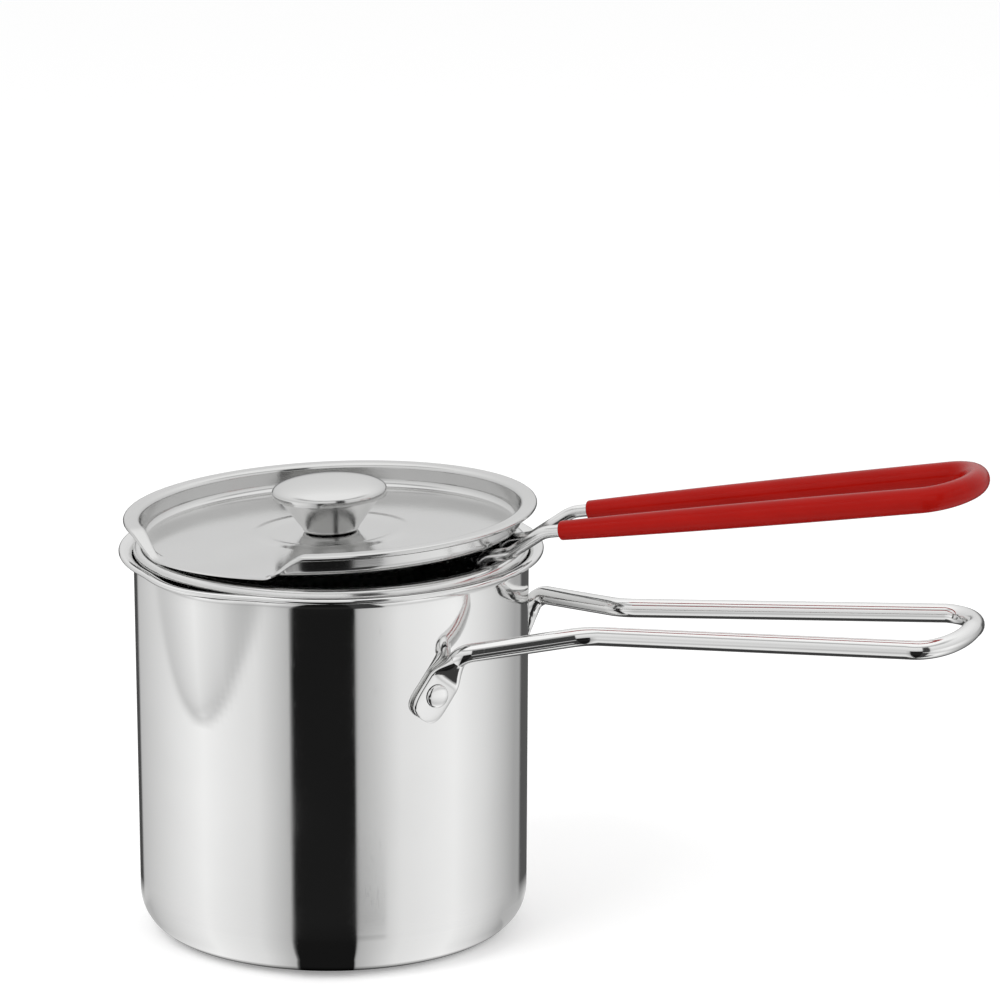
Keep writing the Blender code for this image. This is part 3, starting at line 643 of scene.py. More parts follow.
def press_spout(point):
    share = (POT_HEIGHT - point.z) / SPOUT_DEPTH
    if share >= 1:
        return point
    opening = 1 - max(share, 0.0)
    half_angle = SPOUT_HALF_ANGLE * math.sqrt(opening)
    offset = abs(angle_from(SPOUT_ANGLE, point.x, point.y))
    if offset >= half_angle:
        return point
    radius = math.hypot(point.x, point.y)
    power = blend(SPOUT_TIP_POWER, SPOUT_LIP_POWER, opening)
    crown = (1 - (offset / half_angle) ** 2) ** power
    bulge = SPOUT_REACH * opening**SPOUT_FOOT_POWER * crown
    scale = (radius + bulge) / radius
    return Vector((point.x * scale, point.y * scale, point.z))


def pot_profile():
    lip_middle = POT_MOUTH_MIDDLE + LIP_RADIUS
    profile = arc((lip_middle, LIP_START + LIP_RADIUS - HEM_RADIUS), HEM_RADIUS, HEM_END_ANGLE, 90)
    profile += arc((lip_middle, LIP_START), LIP_RADIUS, 90, 180)[1:]
    for row in range(1, POT_WALL_ROWS):
        height = blend(LIP_START, CORNER_TOP, row / POT_WALL_ROWS)
        profile.append((wall_radius(height) - POT_SHEET / 2, height))
    corner = (POT_FOOT_MIDDLE - POT_CORNER_RADIUS, CORNER_TOP)
    profile += arc(corner, POT_CORNER_RADIUS, 0, -90)
    base = POT_SHEET / 2
    for share in POT_BASE_SHARES:
        rise = POT_BASE_DISH * smooth_share((1 - share) / POT_DISH_EDGE_SHARE)
        profile.append((POT_BASE_RING * share, base + rise))
    return profile


def build_pot(finish):
    mesh = turned_sheet("pot_shell", pot_profile(), ROUND_SEGMENTS, POT_SHEET, press_spout)
    shell = add_piece("pot_shell", mesh, finish, "pot")
    even_normals(shell)
    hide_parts("pot_body")


def ear_frame(side):
    angle = math.radians(EAR_ANGLE)
    outward = Vector((math.cos(angle), side * math.sin(angle), 0))
    around = Vector((-math.sin(angle), side * math.cos(angle), 0))
    slant = math.radians(EAR_SLANT)
    down = around * math.sin(slant) - Vector((0, 0, 1)) * math.cos(slant)
    height = POT_HEIGHT - RIVET_DROP
    middle = outward * (wall_radius(height) + SEAT_GAP + EAR_THICKNESS / 2)
    middle.z = height
    return outward, down, down.cross(outward), middle


def section_points(middle, first, second, first_half, second_half, power):
    points = []
    for side in range(ROD_SIDES):
        angle = 2 * math.pi * (side + 0.5) / ROD_SIDES
        along = math.copysign(abs(math.cos(angle)) ** (2 / power), math.cos(angle))
        across = math.copysign(abs(math.sin(angle)) ** (2 / power), math.sin(angle))
        points.append(middle + first * first_half * along + second * second_half * across)
    return points


def handle_half_rings():
    """Rings of the rod from an ear's foot to the tip of the loop, on the +Y side."""
    outward, down, across, middle = ear_frame(1)
    rings = []
    plate_half = EAR_THICKNESS / 2
    head_edge = RIVET_HEAD_RADIUS + 2 * SEAT_GAP
    for step in range(EAR_FOOT_STEPS + 1):
        share = math.cos(math.pi / 2 * step / EAR_FOOT_STEPS)
        end = 1 - share**EAR_END_POWER
        width = EAR_HALF_WIDTH * max(end ** (1 / EAR_END_POWER), EAR_TIP_SHARE)
        place = middle + down * EAR_FOOT * share
        edge = plate_half * (EAR_TIP_THICKNESS_SHARE if step == 0 else 1)
        rings.append(section_points(place, outward, across, edge, width, PLATE_SECTION_POWER))
    for step in range(EAR_NECK_STEPS + 1):
        share = smooth_share(step / EAR_NECK_STEPS)
        width = blend(EAR_HALF_WIDTH, ROD_RADIUS, share)
        half = blend(plate_half, ROD_RADIUS, share)
        power = blend(PLATE_SECTION_POWER, ROD_SECTION_POWER, share)
        reach = blend(head_edge, EAR_NECK, step / EAR_NECK_STEPS)
        place = middle - down * reach + outward * (half - plate_half)
        place -= across * EAR_NECK_SHIFT * share
        rings.append(section_points(place, outward, across, half, width, power))
    neck = middle - down * EAR_NECK - across * EAR_NECK_SHIFT + outward * (ROD_RADIUS - plate_half)
    waist_height = POT_HEIGHT - WAIST_DROP
    loop_height = POT_HEIGHT - LOOP_DROP
    knee_distance = POT_MOUTH_RADIUS + KNEE_STANDOFF
    knee_angle = math.radians(KNEE_ANGLE)
    knee = (knee_distance * math.cos(knee_angle), knee_distance * math.sin(knee_angle))
    corners = [
        neck,
        (*knee, POT_HEIGHT - KNEE_DROP),
        (WAIST_REACH, WAIST_SPREAD, waist_height),
        (LOOP_REACH, LOOP_SPREAD, loop_height),
    ]
    path = rounded_path(corners, (KNEE_BEND_RADIUS, WAIST_BEND_RADIUS))
    for step in range(1, LOOP_STEPS + 1):
        turn = math.pi / 2 * step / LOOP_STEPS
        reach = LOOP_REACH + LOOP_DEPTH * math.sin(turn)
        rise = LOOP_TIP_RISE * (1 - math.cos(turn))
        path.append(Vector((reach, LOOP_SPREAD * math.cos(turn), loop_height + rise)))
    first = outward
    for index in range(1, len(path)):
        last = index == len(path) - 1
        tangent = Vector((0, -1, 0)) if last else (path[index + 1] - path[index - 1]).normalized()
        first = (first - tangent * first.dot(tangent)).normalized()
        second = tangent.cross(first)
        rings.append(section_points(path[index], first, -second, ROD_RADIUS, ROD_RADIUS, ROD_SECTION_POWER))
    return rings


def build_pot_handle(finish):
    rings = handle_half_rings()
    mirrored = [[Vector((p.x, -p.y, p.z)) for p in ring] for ring in reversed(rings[:-1])]
    points = [point for ring in rings + mirrored for point in ring]
    count = len(rings) + len(mirrored)
    faces = ring_faces(count, ROD_SIDES)
    faces.append(tuple(range(ROD_SIDES)))
    faces.append(tuple(range((count - 1) * ROD_SIDES, count * ROD_SIDES)))
    mesh = smoothed(closed_mesh("pot_handle_rod", points, faces))
    handle = add_piece("pot_handle_rod", mesh, finish, "pot")
    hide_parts("pot_handle")


def rivet_mesh(name):
    grip = EAR_THICKNESS + POT_SHEET + 4 * SEAT_GAP
    head = arc((0, 0), 1, 90, 0, RIVET_HEAD_STEPS)
    profile = [(RIVET_HEAD_RADIUS * out, RIVET_HEAD_HEIGHT * up**RIVET_DOME_POWER) for out, up in head[:-1]]
    profile += [(RIVET_HEAD_RADIUS, 0), (RIVET_SHANK_RADIUS, 0), (RIVET_SHANK_RADIUS, -grip)]
    tail = arc((0, 0), 1, 0, -90, RIVET_TAIL_STEPS)
    profile += [(RIVET_TAIL_RADIUS * out, -grip + RIVET_TAIL_HEIGHT * down) for out, down in tail]
    return turned_solid(name, profile, RIVET_SEGMENTS)


def build_rivets(finish):
    for side, word in ((-1, "front"), (1, "rear")):
        outward, _, _, middle = ear_frame(side)
        seat = middle + outward * (EAR_THICKNESS / 2 + SEAT_GAP)
        name = "rivet_" + word
        rivet = add_piece(name, rivet_mesh(name), finish, "pot", frame_towards(outward, seat))
        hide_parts("pot_rivet_" + word)


# Basket


def in_seam(angle):
    return abs(angle_from(SEAM_ANGLE, math.cos(angle), math.sin(angle))) < SEAM_HALF_ANGLE


def basket_shell_mesh():
    """Rolled rim, perforated wall and plain foot in one surface on a half-pitch lattice."""
    lattice = 2 * HOLE_COLUMNS
    top = -FIRST_HOLE_DROP + HOLE_ROW_PITCH / 2
    points = []
    faces = []

    def at(step, height):
        angle = math.pi * step / HOLE_COLUMNS
        radius = basket_middle(height)
        return Vector((radius * math.cos(angle), radius * math.sin(angle), height))

    def lattice_ring(height):
        start = len(points)
        points.extend(at(step, height) for step in range(lattice))
        return start

    def join_rings(upper, lower):
        for step in range(lattice):
            after = (step + 1) % lattice
            faces.append((upper + step, upper + after, lower + after, lower + step))

    bead = arc((BEAD_REACH, 0), BEAD_MIDDLE, BEAD_END_ANGLE, 180, BEAD_STEPS)
    points.extend(turned_points(bead, lattice))
    for ring in range(len(bead) - 1):
        join_rings(ring * lattice, (ring + 1) * lattice)
    upper = (len(bead) - 1) * lattice
    for share in COLLAR_SHARES:
        lower = lattice_ring(top * share)
        join_rings(upper, lower)
        upper = lower
    for row in range(HOLE_ROWS):
        lower = lattice_ring(top - HOLE_ROW_PITCH * (row + 1))
        middle = lattice_ring(top - HOLE_ROW_PITCH * (row + 0.5))
        centre_height = top - HOLE_ROW_PITCH * (row + 0.5)
        for column in range(HOLE_COLUMNS):
            left = 2 * column + row % 2
            centre = (left + 1) % lattice
            right = (left + 2) % lattice
            left = left % lattice
            around = [
                middle + right,
                upper + right,
                upper + centre,
                upper + left,
                middle + left,
                lower + left,
                lower + centre,
                lower + right,
            ]
            borders = list(zip(around, around[1:] + around[:1]))
            turn = math.pi * centre / HOLE_COLUMNS
            if in_seam(turn):
                faces.extend((middle + centre, *border) for border in borders)
                continue
            hole = len(points)
            radius = basket_middle(centre_height)
            for side in range(HOLE_SIDES):
                angle = 2 * math.pi * side / HOLE_SIDES
                swing = turn + HOLE_RADIUS * math.cos(angle) / radius
                height = centre_height + HOLE_RADIUS * math.sin(angle)
                points.append(Vector((radius * math.cos(swing), radius * math.sin(swing), height)))
            for index, border in enumerate(borders):
                inner = [hole + (2 * index + step) % HOLE_SIDES for step in (2, 1, 0)]
                faces.append((*border, *inner))
        upper = lower
    last_height = top - HOLE_ROW_PITCH * HOLE_ROWS
    for share in FOOT_BAND_SHARES:
        lower = lattice_ring(blend(last_height, -BASKET_DEPTH, share))
        join_rings(upper, lower)
        upper = lower
    return surface_from("basket_shell", points, faces)


def surface_from(name, points, faces):
    """Open surface without points that no face uses."""
    mesh = bpy.data.meshes.new(name)
    mesh.from_pydata(points, [], faces)
    shape = bmesh.new()
    shape.from_mesh(mesh)
    loose = [corner for corner in shape.verts if not corner.link_faces]
    bmesh.ops.delete(shape, geom=loose, context="VERTS")
    bmesh.ops.remove_doubles(shape, verts=shape.verts, dist=MERGE_LIMIT)
    shape.to_mesh(mesh)
    shape.free()
    return mesh


def bottom_mesh():
    """Pressed bottom: a skirt, a rounded corner and a perforated flat."""
    skirt_top = -BASKET_DEPTH + BOTTOM_SKIRT
    skirt_radius = BASKET_FOOT_RADIUS - BASKET_SHEET - SEAT_GAP - BASKET_SHEET / 2
    base = -BASKET_DEPTH + BASKET_SHEET / 2
    flat = skirt_radius - BOTTOM_CORNER_RADIUS
    profile = [(skirt_radius, skirt_top), (skirt_radius, blend(skirt_top, base, BOTTOM_SKIRT_SHARE))]
    corner = (flat, base + BOTTOM_CORNER_RADIUS)
    profile += arc(corner, BOTTOM_CORNER_RADIUS, 0, -90, BOTTOM_CORNER_STEPS)
    points = turned_points(profile, ROUND_SEGMENTS)
    faces = ring_faces(len(profile), ROUND_SEGMENTS)

    outline = [Vector(point[:2]) for point in points[-ROUND_SEGMENTS:]]
    loops = [list(range(ROUND_SEGMENTS))]
    column_pitch = 2 * math.pi * BASKET_MOUTH_RADIUS / HOLE_COLUMNS
    rows = int(BOTTOM_HOLE_FIELD / HOLE_ROW_PITCH)
    for row in range(-rows, rows + 1):
        for column in range(-rows, rows + 1):
            middle = Vector(((column + row % 2 / 2) * column_pitch, row * HOLE_ROW_PITCH))
            if middle.length > BOTTOM_HOLE_FIELD:
                continue
            start = len(outline)
            for side in range(BOTTOM_HOLE_SIDES):
                angle = 2 * math.pi * side / BOTTOM_HOLE_SIDES
                outline.append(middle + Vector((math.cos(angle), math.sin(angle))) * HOLE_RADIUS)
            loops.append(list(range(start, start + BOTTOM_HOLE_SIDES)))
    edges = [(loop[i], loop[(i + 1) % len(loop)]) for loop in loops for i in range(len(loop))]
    flat_points, _, flat_faces, *_ = delaunay_2d_cdt(outline, edges, [], 2, MERGE_LIMIT)
    start = len(points)
    points += [Vector((point.x, point.y, base)) for point in flat_points]
    faces += [tuple(start + index for index in face) for face in flat_faces]
    return surface_from("basket_base", points, faces)


def weld_mesh(name):
    profile = [(WELD_RADIUS * out, WELD_HEIGHT * up) for out, up in arc((0, 0), 1, 90, 0, WELD_STEPS)]
    profile.append((0, -BASKET_SHEET / 4))
    return turned_solid(name, profile, WELD_SEGMENTS)


def build_basket(finish, seat):
    shell_mesh = smoothed(sheeted(basket_shell_mesh(), BASKET_SHEET))
    shell = add_piece("basket_shell", shell_mesh, finish, "basket", seat)
    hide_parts("basket_wall")
    base_mesh = smoothed(sheeted(bottom_mesh(), BASKET_SHEET))
    base = add_piece("basket_base", base_mesh, finish, "basket", seat)
    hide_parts("basket_bottom")
    swing = math.asin(WIRE_SPREAD / wire_leg_distance())
    for side, word in ((-1, "front"), (1, "rear")):
        for drop, level in zip(WELD_DROPS, ("upper", "lower")):
            name = f"weld_mark_{word}_{level}"
            outward = Vector((math.cos(swing), side * math.sin(swing), 0))
            spot = outward * (basket_middle(-drop) + BASKET_SHEET / 2)
            spot.z = -drop
            mark = add_piece(name, weld_mesh(name), finish, "basket", seat @ frame_towards(outward, spot))


def wire_leg_distance():
    return basket_middle(-WIRE_LEG_DROP) - BASKET_SHEET / 2 - SEAT_GAP - WIRE_RADIUS


def wire_leg_reach():
    return math.sqrt(wire_leg_distance() ** 2 - WIRE_SPREAD**2)


def hairpin_path():
    leg = wire_leg_reach()
    corners = [
        (leg, WIRE_SPREAD, -WIRE_LEG_DROP),
        (leg, WIRE_SPREAD, WIRE_SHOULDER_RISE),
        (WIRE_CREST_REACH, WIRE_SPREAD, WIRE_CREST_RISE),
        (GRIP_START_REACH, GRIP_START_SPREAD, GRIP_START_RISE),
        (GRIP_LOOP_REACH, GRIP_LOOP_SPREAD, GRIP_LOOP_RISE),
    ]
    path = rounded_path(corners, (WIRE_SHOULDER_BEND, WIRE_CREST_BEND, WIRE_NECK_BEND))
    slope = (GRIP_LOOP_RISE - GRIP_START_RISE) / (GRIP_LOOP_REACH - GRIP_START_REACH)
    for step in range(1, LOOP_STEPS + 1):
        turn = math.pi / 2 * step / LOOP_STEPS
        ahead = GRIP_LOOP_DEPTH * math.sin(turn)
        spread = GRIP_LOOP_SPREAD * math.cos(turn)
        path.append(Vector((GRIP_LOOP_REACH + ahead, spread, GRIP_LOOP_RISE + ahead * slope)))
    return path


def whole_hairpin(half):
    mirrored = [Vector((point.x, -point.y, point.z)) for point in reversed(half[:-1])]
    return half + mirrored


def tube_points(path, radii):
    """Rings of a tube along a path, each with its own radius, carried on without twist."""
    points = []
    first = Vector((0, 0, 1))
    for index, place in enumerate(path):
        before = path[max(index - 1, 0)]
        after = path[min(index + 1, len(path) - 1)]
        tangent = (after - before).normalized()
        if abs(first.dot(tangent)) > NEARLY_PARALLEL:
            first = Vector((1, 0, 0))
        first = (first - tangent * first.dot(tangent)).normalized()
        second = tangent.cross(first)
        for side in range(TUBE_SIDES):
            angle = 2 * math.pi * side / TUBE_SIDES
            points.append(place + (first * math.cos(angle) + second * math.sin(angle)) * radii[index])
    return points


def build_wire(finish, seat):
    path = whole_hairpin(hairpin_path())
    points = tube_points(path, [WIRE_RADIUS] * len(path))
    faces = ring_faces(len(path), TUBE_SIDES)
    faces.append(tuple(range(TUBE_SIDES)))
    faces.append(tuple(range(len(points) - TUBE_SIDES, len(points))))
    mesh = smoothed(closed_mesh("basket_wire", points, faces))
    wire = add_piece("basket_wire", mesh, finish, "basket", seat)
    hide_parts("basket_handle_wire")


def sleeve_path():
    """Half of the sleeve's path, with its wall's thickness at each point, from its mouth to its loop."""
    straight = GRIP_LOOP_REACH - GRIP_START_REACH
    swells = []
    for step in range(GRIP_MOUTH_STEPS + 1):
        turn = math.pi / 2 * step / GRIP_MOUTH_STEPS
        swells.append(GRIP_MOUTH_ROUND * (1 - math.cos(turn)) / GRIP_SWELL_LENGTH)
    swells += [step / GRIP_SWELL_STEPS for step in range(1, GRIP_SWELL_STEPS + 1)]
    path = []
    for swell_share in swells:
        share = (GRIP_SETBACK + GRIP_SWELL_LENGTH * swell_share) / straight
        reach = blend(GRIP_START_REACH, GRIP_LOOP_REACH, share)
        spread = blend(GRIP_START_SPREAD, GRIP_LOOP_SPREAD, share)
        rise = blend(GRIP_START_RISE, GRIP_LOOP_RISE, share)
        wall = blend(GRIP_WALL, GRIP_MOUTH_WALL, (1 - swell_share) ** 2)
        path.append((Vector((reach, spread, rise)), wall))
    path += [(point, GRIP_WALL) for point in hairpin_path() if point.x > path[-1][0].x + MERGE_LIMIT]
    return path


def build_grip(finish, seat):
    half = sleeve_path()
    walls = [wall for _, wall in half]
    for step in range(GRIP_MOUTH_STEPS):
        walls[step] -= GRIP_MOUTH_ROUND * (1 - math.sin(math.pi / 2 * step / GRIP_MOUTH_STEPS))
    walls += walls[-2::-1]
    path = whole_hairpin([point for point, _ in half])
    bore = WIRE_RADIUS + SEAT_GAP / 2
    outer = tube_points(path, [WIRE_RADIUS + SEAT_GAP + wall for wall in walls])
    points = outer + list(reversed_rings(tube_points(path, [bore] * len(path))))
    faces = ring_faces(2 * len(path), TUBE_SIDES, closed_along=True)
    mesh = smoothed(closed_mesh("grip_sleeve", points, faces))
    grip = add_piece("grip_sleeve", mesh, finish, "basket", seat)
    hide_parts("basket_grip")


def reversed_rings(points):
    for ring in range(len(points) // TUBE_SIDES - 1, -1, -1):
        yield from points[ring * TUBE_SIDES : (ring + 1) * TUBE_SIDES]


# Lid


def lid_profile():
    base = LID_SHEET / 2
    top = base + LID_RECESS_DEPTH
    wall = LID_RECESS_RADIUS - LID_SHEET / 2
    hem = (LID_FLANGE_RADIUS - LID_SHEET / 2 - LID_HEM_RADIUS, top - LID_HEM_RADIUS)
    bend = (wall + LID_FLANGE_BEND, top - LID_FLANGE_BEND)
    corner = (wall - LID_CORNER_RADIUS, base + LID_CORNER_RADIUS)
    profile = arc(hem, LID_HEM_RADIUS, HEM_END_ANGLE, 90, LID_BEND_STEPS)
    profile += arc(bend, LID_FLANGE_BEND, 90, 180, LID_BEND_STEPS)
    profile += arc(corner, LID_CORNER_RADIUS, 0, -90)
    flat = corner[0]
    profile += [(flat * share, base) for share in LID_OUTER_SHARES]
    for step in range(LID_RING_STEPS + 1):
        turn = math.pi * (step / LID_RING_STEPS - 0.5)
        reach = LID_RING_RADIUS - LID_RING_HALF_WIDTH * turn / (math.pi / 2)
        profile.append((reach, base + LID_RING_RISE * math.cos(turn) ** 2))
    profile += [(flat * share, base) for share in LID_INNER_SHARES]
    profile.append((SCREW_RADIUS + SEAT_GAP, base))
    return profile


def lid_dip_press(profile):
    """Function that lowers the flange to the plate's level over the dip."""
    flat = LID_RECESS_RADIUS - LID_SHEET / 2 - LID_CORNER_RADIUS
    rim = [point for point in reversed(profile) if point[0] >= flat - MERGE_LIMIT]
    lengths = [0.0]
    for near, far in zip(rim, rim[1:]):
        lengths.append(lengths[-1] + math.dist(near, far))

    def press(point):
        radius = math.hypot(point.x, point.y)
        if radius <= flat + MERGE_LIMIT:
            return point
        offset = abs(angle_from(SPOUT_ANGLE, point.x, point.y)) - LID_DIP_HALF_ANGLE
        depth = 1 - smooth_share(offset / LID_DIP_RAMP_ANGLE)
        index = min(range(len(rim)), key=lambda at: math.dist(rim[at], (radius, point.z)))
        share = lengths[index] / lengths[-1]
        reach = blend(radius, blend(flat, LID_DIP_REACH, share), depth)
        height = blend(point.z, LID_SHEET / 2, depth)
        return Vector((point.x * reach / radius, point.y * reach / radius, height))

    return press


def lid_seat():
    """Place of the lid, whose far side lies on the rolled rim and whose near side lies on the wires."""
    nested = BEAD_RADIUS + LID_CORNER_RADIUS + LID_SEAT_GAP
    overhang = BEAD_REACH - LID_FLAT_RADIUS
    far_height = math.sqrt(nested**2 - overhang**2) - LID_CORNER_RADIUS
    slope = (WIRE_CREST_RISE - WIRE_SHOULDER_RISE) / (WIRE_CREST_REACH - wire_leg_reach())
    wire_height = WIRE_SHOULDER_RISE + slope * (LID_FLAT_RADIUS - wire_leg_reach())
    near_height = wire_height + WIRE_RADIUS + LID_SEAT_GAP
    rise = (near_height - far_height) / 2
    tilt = math.asin(rise / LID_FLAT_RADIUS)
    place = Matrix.Translation((0, 0, BASKET_RIM_HEIGHT + far_height + rise))
    return place @ Matrix.Rotation(-tilt, 4, "Y")


def build_lid(finish, seat):
    profile = lid_profile()
    mesh = turned_sheet("lid_plate", profile, LID_SEGMENTS, LID_SHEET, lid_dip_press(profile))
    plate = add_piece("lid_plate", mesh, finish, "lid", seat)
    even_normals(plate)
    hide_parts("lid_pan")


def build_knob(finish, seat):
    base = KNOB_BASE_HEIGHT + KNOB_SHEET / 2
    rim = KNOB_BASE_HEIGHT + KNOB_CONE_HEIGHT
    hole = SCREW_RADIUS + SEAT_GAP
    rim_middle = KNOB_RIM_RADIUS - 3 * KNOB_SHEET / 2 - SEAT_GAP
    base_middle = KNOB_BASE_RADIUS - KNOB_SHEET / 2
    flare = (
        blend(base_middle, rim_middle, KNOB_FLARE_RADIUS_SHARE),
        blend(base, rim, KNOB_FLARE_HEIGHT_SHARE),
    )
    top = (rim_middle - KNOB_BEND, rim - KNOB_SHEET - KNOB_BEND)
    foot = (base_middle, base + KNOB_BEND)
    cone = [(rim_middle, rim - KNOB_SHEET)]
    for step in range(KNOB_CONE_STEPS + 1):
        share = step / KNOB_CONE_STEPS
        near = (blend(top[0], flare[0], share), blend(top[1], flare[1], share))
        far = (blend(flare[0], foot[0], share), blend(flare[1], foot[1], share))
        cone.append((blend(near[0], far[0], share), blend(near[1], far[1], share)))
    cone += arc((base_middle - KNOB_BEND, base + KNOB_BEND), KNOB_BEND, 0, -90, LID_BEND_STEPS)[1:]
    cone.append((hole, base))
    stand_mesh = turned_sheet("knob_stand", cone, KNOB_SEGMENTS, KNOB_SHEET)
    stand = add_piece("knob_stand", stand_mesh, finish, "lid", seat)
    even_normals(stand)
    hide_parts("knob_cone")

    skirt = KNOB_RIM_RADIUS - KNOB_SHEET / 2
    cap = [(skirt, rim - KNOB_SKIRT), (skirt, rim - KNOB_SKIRT / 2), (skirt, rim)]
    for step in range(1, KNOB_DOME_STEPS + 1):
        turn = math.pi / 2 * step / KNOB_DOME_STEPS
        cap.append((skirt * math.cos(turn), rim + KNOB_DOME_HEIGHT * math.sin(turn)))
    cap[-1] = (0, rim + KNOB_DOME_HEIGHT)
    dome_mesh = turned_sheet("knob_dome", cap, KNOB_SEGMENTS, KNOB_SHEET)
    dome = add_piece("knob_dome", dome_mesh, finish, "lid", seat)
    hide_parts("knob_cap")


# Studio


def between(tree, angle, limits, first, last):
    """Level that goes from first to last between two angles in degrees."""
    return spread_to(tree, angle, math.radians(limits[0]), math.radians(limits[1]), first, last)


def within(tree, angle, limits, edge):
    """One between two angles in degrees and zero beyond them, with soft edges."""
    start = between(tree, angle, (limits[0] - edge, limits[0] + edge), 0.0, 1.0)
    end = between(tree, angle, (limits[1] - edge, limits[1] + edge), 1.0, 0.0)
    return calculate(tree, "MINIMUM", start, end)


def studio_level(tree, azimuth):
    """Level that steel mirrors at a direction round the object, in radians from the camera's side."""
    share = spread_to(tree, azimuth, -math.pi, math.pi, 0.0, 1.0)
    ramp = add_node(tree, "ShaderNodeValToRGB", {"Fac": share})
    while len(ramp.color_ramp.elements) < len(STUDIO_LEVELS):
        ramp.color_ramp.elements.new(0.5)
    for element, (angle, level) in zip(ramp.color_ramp.elements, STUDIO_LEVELS):
        element.position = (angle + 180) / 360
        element.color = plain_grey(level)
    return ramp.outputs["Color"]


def gap_wing(tree, azimuth, height):
    """Widens the dark gap to its right, except in the band that the pot's wall mirrors."""
    beyond_wall = calculate(tree, "SUBTRACT", 1.0, within(tree, height, POT_WALL_BAND, edge=1.0))
    wing = calculate(tree, "MULTIPLY", within(tree, azimuth, GAP_WING, edge=1.0), beyond_wall)
    return calculate(tree, "MULTIPLY", wing, between(tree, height, GAP_WING_TOP, 1.0, 0.0))


def sky_level(tree, azimuth, height):
    """Level above eye level, brighter towards the top, with a shaded ceiling over the camera's side."""
    sky = between(tree, height, (0, SKY_TOP), *SKY_LEVELS)
    sides = within(tree, azimuth, CEILING_SIDES, edge=20)
    ceiling = calculate(tree, "MULTIPLY", sides, within(tree, height, CEILING_BAND, edge=5))
    return calculate(tree, "MULTIPLY", sky, calculate(tree, "MULTIPLY_ADD", ceiling, -CEILING_SHADE, 1.0))


def mirrored_studio(tree, azimuth, height):
    """Colour that steel mirrors: a black gap at the camera, bright sides, a dim back and a bright sky."""
    dark = plain_grey(DARK_LEVEL)
    upper = between(tree, height, HORIZON, 0.0, 1.0)
    sky = grey(tree, sky_level(tree, azimuth, height))
    beside = mixed(tree, upper, studio_level(tree, azimuth), sky)
    beside = mixed(tree, gap_wing(tree, azimuth, height), beside, dark)
    shaded = calculate(tree, "MULTIPLY", within(tree, height, SHADE_BAND, edge=7), SHADE_SHARE)
    left = within(tree, azimuth, LEFT_UNDERSIDE, edge=8)
    right = within(tree, azimuth, RIGHT_UNDERSIDE, edge=4)
    under = between(tree, height, UNDERSIDE, 0.0, 1.0)
    under = calculate(tree, "MULTIPLY", under, calculate(tree, "MAXIMUM", left, right))
    return mixed(tree, under, mixed(tree, shaded, beside, dark), dark)


def world_light():
    """White studio. Its marks keep their directions, so they stay where they are in every view."""
    world = bpy.data.worlds.new("studio")
    bpy.context.scene.world = world
    world.use_nodes = True
    tree = world.node_tree
    tree.nodes.clear()
    direction = add_node(tree, "ShaderNodeTexCoord").outputs["Generated"]
    turned = add_node(tree, "ShaderNodeMapping", {"Vector": direction})
    turned.inputs["Rotation"].default_value = (0, 0, math.radians(90 - CAMERA_AZIMUTH))
    x, y, z = add_node(tree, "ShaderNodeSeparateXYZ", {"Vector": turned.outputs["Vector"]}).outputs
    seen = mirrored_studio(tree, calculate(tree, "ARCTAN2", y, x), calculate(tree, "ARCSINE", z))
    paths = add_node(tree, "ShaderNodeLightPath")
    lit = mixed(tree, paths.outputs["Is Glossy Ray"], plain_grey(MATT_LEVEL), seen)
    shown = mixed(tree, paths.outputs["Is Camera Ray"], lit, plain_grey(1))
    background = add_node(tree, "ShaderNodeBackground", {"Color": shown, "Strength": 1.0})
    output = add_node(tree, "ShaderNodeOutputWorld")
    tree.links.new(background.outputs[0], output.inputs["Surface"])


def painted_floor_reflection(tree):
    """Painted reflection that steel close above the floor mirrors, glowing from the floor: the studio's
    levels, as the wall above turns them, with a painted contact shadow under the pot's foot.
    """
    turn = math.radians(CAMERA_AZIMUTH)
    place = object_place(tree)
    ahead = dot_product(tree, place, (math.sin(turn), -math.cos(turn), 0))
    aside = dot_product(tree, place, (math.cos(turn), math.sin(turn), 0))
    turned = calculate(tree, "ARCTAN2", aside, ahead)
    distance = add_node(tree, "ShaderNodeVectorMath", {"Vector": place}, operation="LENGTH").outputs["Value"]
    nearness = calculate(tree, "MINIMUM", calculate(tree, "DIVIDE", POT_FOOT_RADIUS, distance), 1.0)
    facing = calculate(tree, "DIVIDE", turned, calculate(tree, "SUBTRACT", 2.0, nearness))
    level = studio_level(tree, calculate(tree, "MULTIPLY", facing, 2.0))
    aslant = calculate(tree, "ABSOLUTE", turned)
    beside = between(tree, aslant, PAINTED_REFLECTION_SIDES, 0.0, PAINTED_REFLECTION_SIDE_LEVEL)
    level = grey(tree, calculate(tree, "MAXIMUM", level, beside))
    behind = between(tree, aslant, PAINTED_REFLECTION_BACK, 0.0, 1.0)
    # Painted dark gap in the painted reflection behind the object
    right, left = PAINTED_REFLECTION_BACK_GAP
    rear_right = between(tree, turned, right, PAINTED_REFLECTION_BACK_LEVEL, PAINTED_SHADOW_AND_GAP_LEVEL)
    rear_left = between(tree, turned, left, PAINTED_SHADOW_AND_GAP_LEVEL, PAINTED_REFLECTION_BACK_LEVEL)
    rear = grey(tree, calculate(tree, "MINIMUM", rear_left, rear_right))
    # Painted contact shadow: the painted reflection's glow drops to a dark level under the pot's foot
    painted_contact_shadow = spread_to(tree, distance, *PAINTED_CONTACT_SHADOW_EDGE, PAINTED_SHADOW_AND_GAP_LEVEL, PAINTED_REFLECTION_STRENGTH)
    # Emission that only glossy rays meet: a painted reflection glowing from the floor, not light from a lamp
    mirrored = add_node(tree, "ShaderNodeEmission", {"Strength": painted_contact_shadow})
    socket(tree, mirrored.inputs["Color"], mixed(tree, behind, level, rear))
    return mirrored


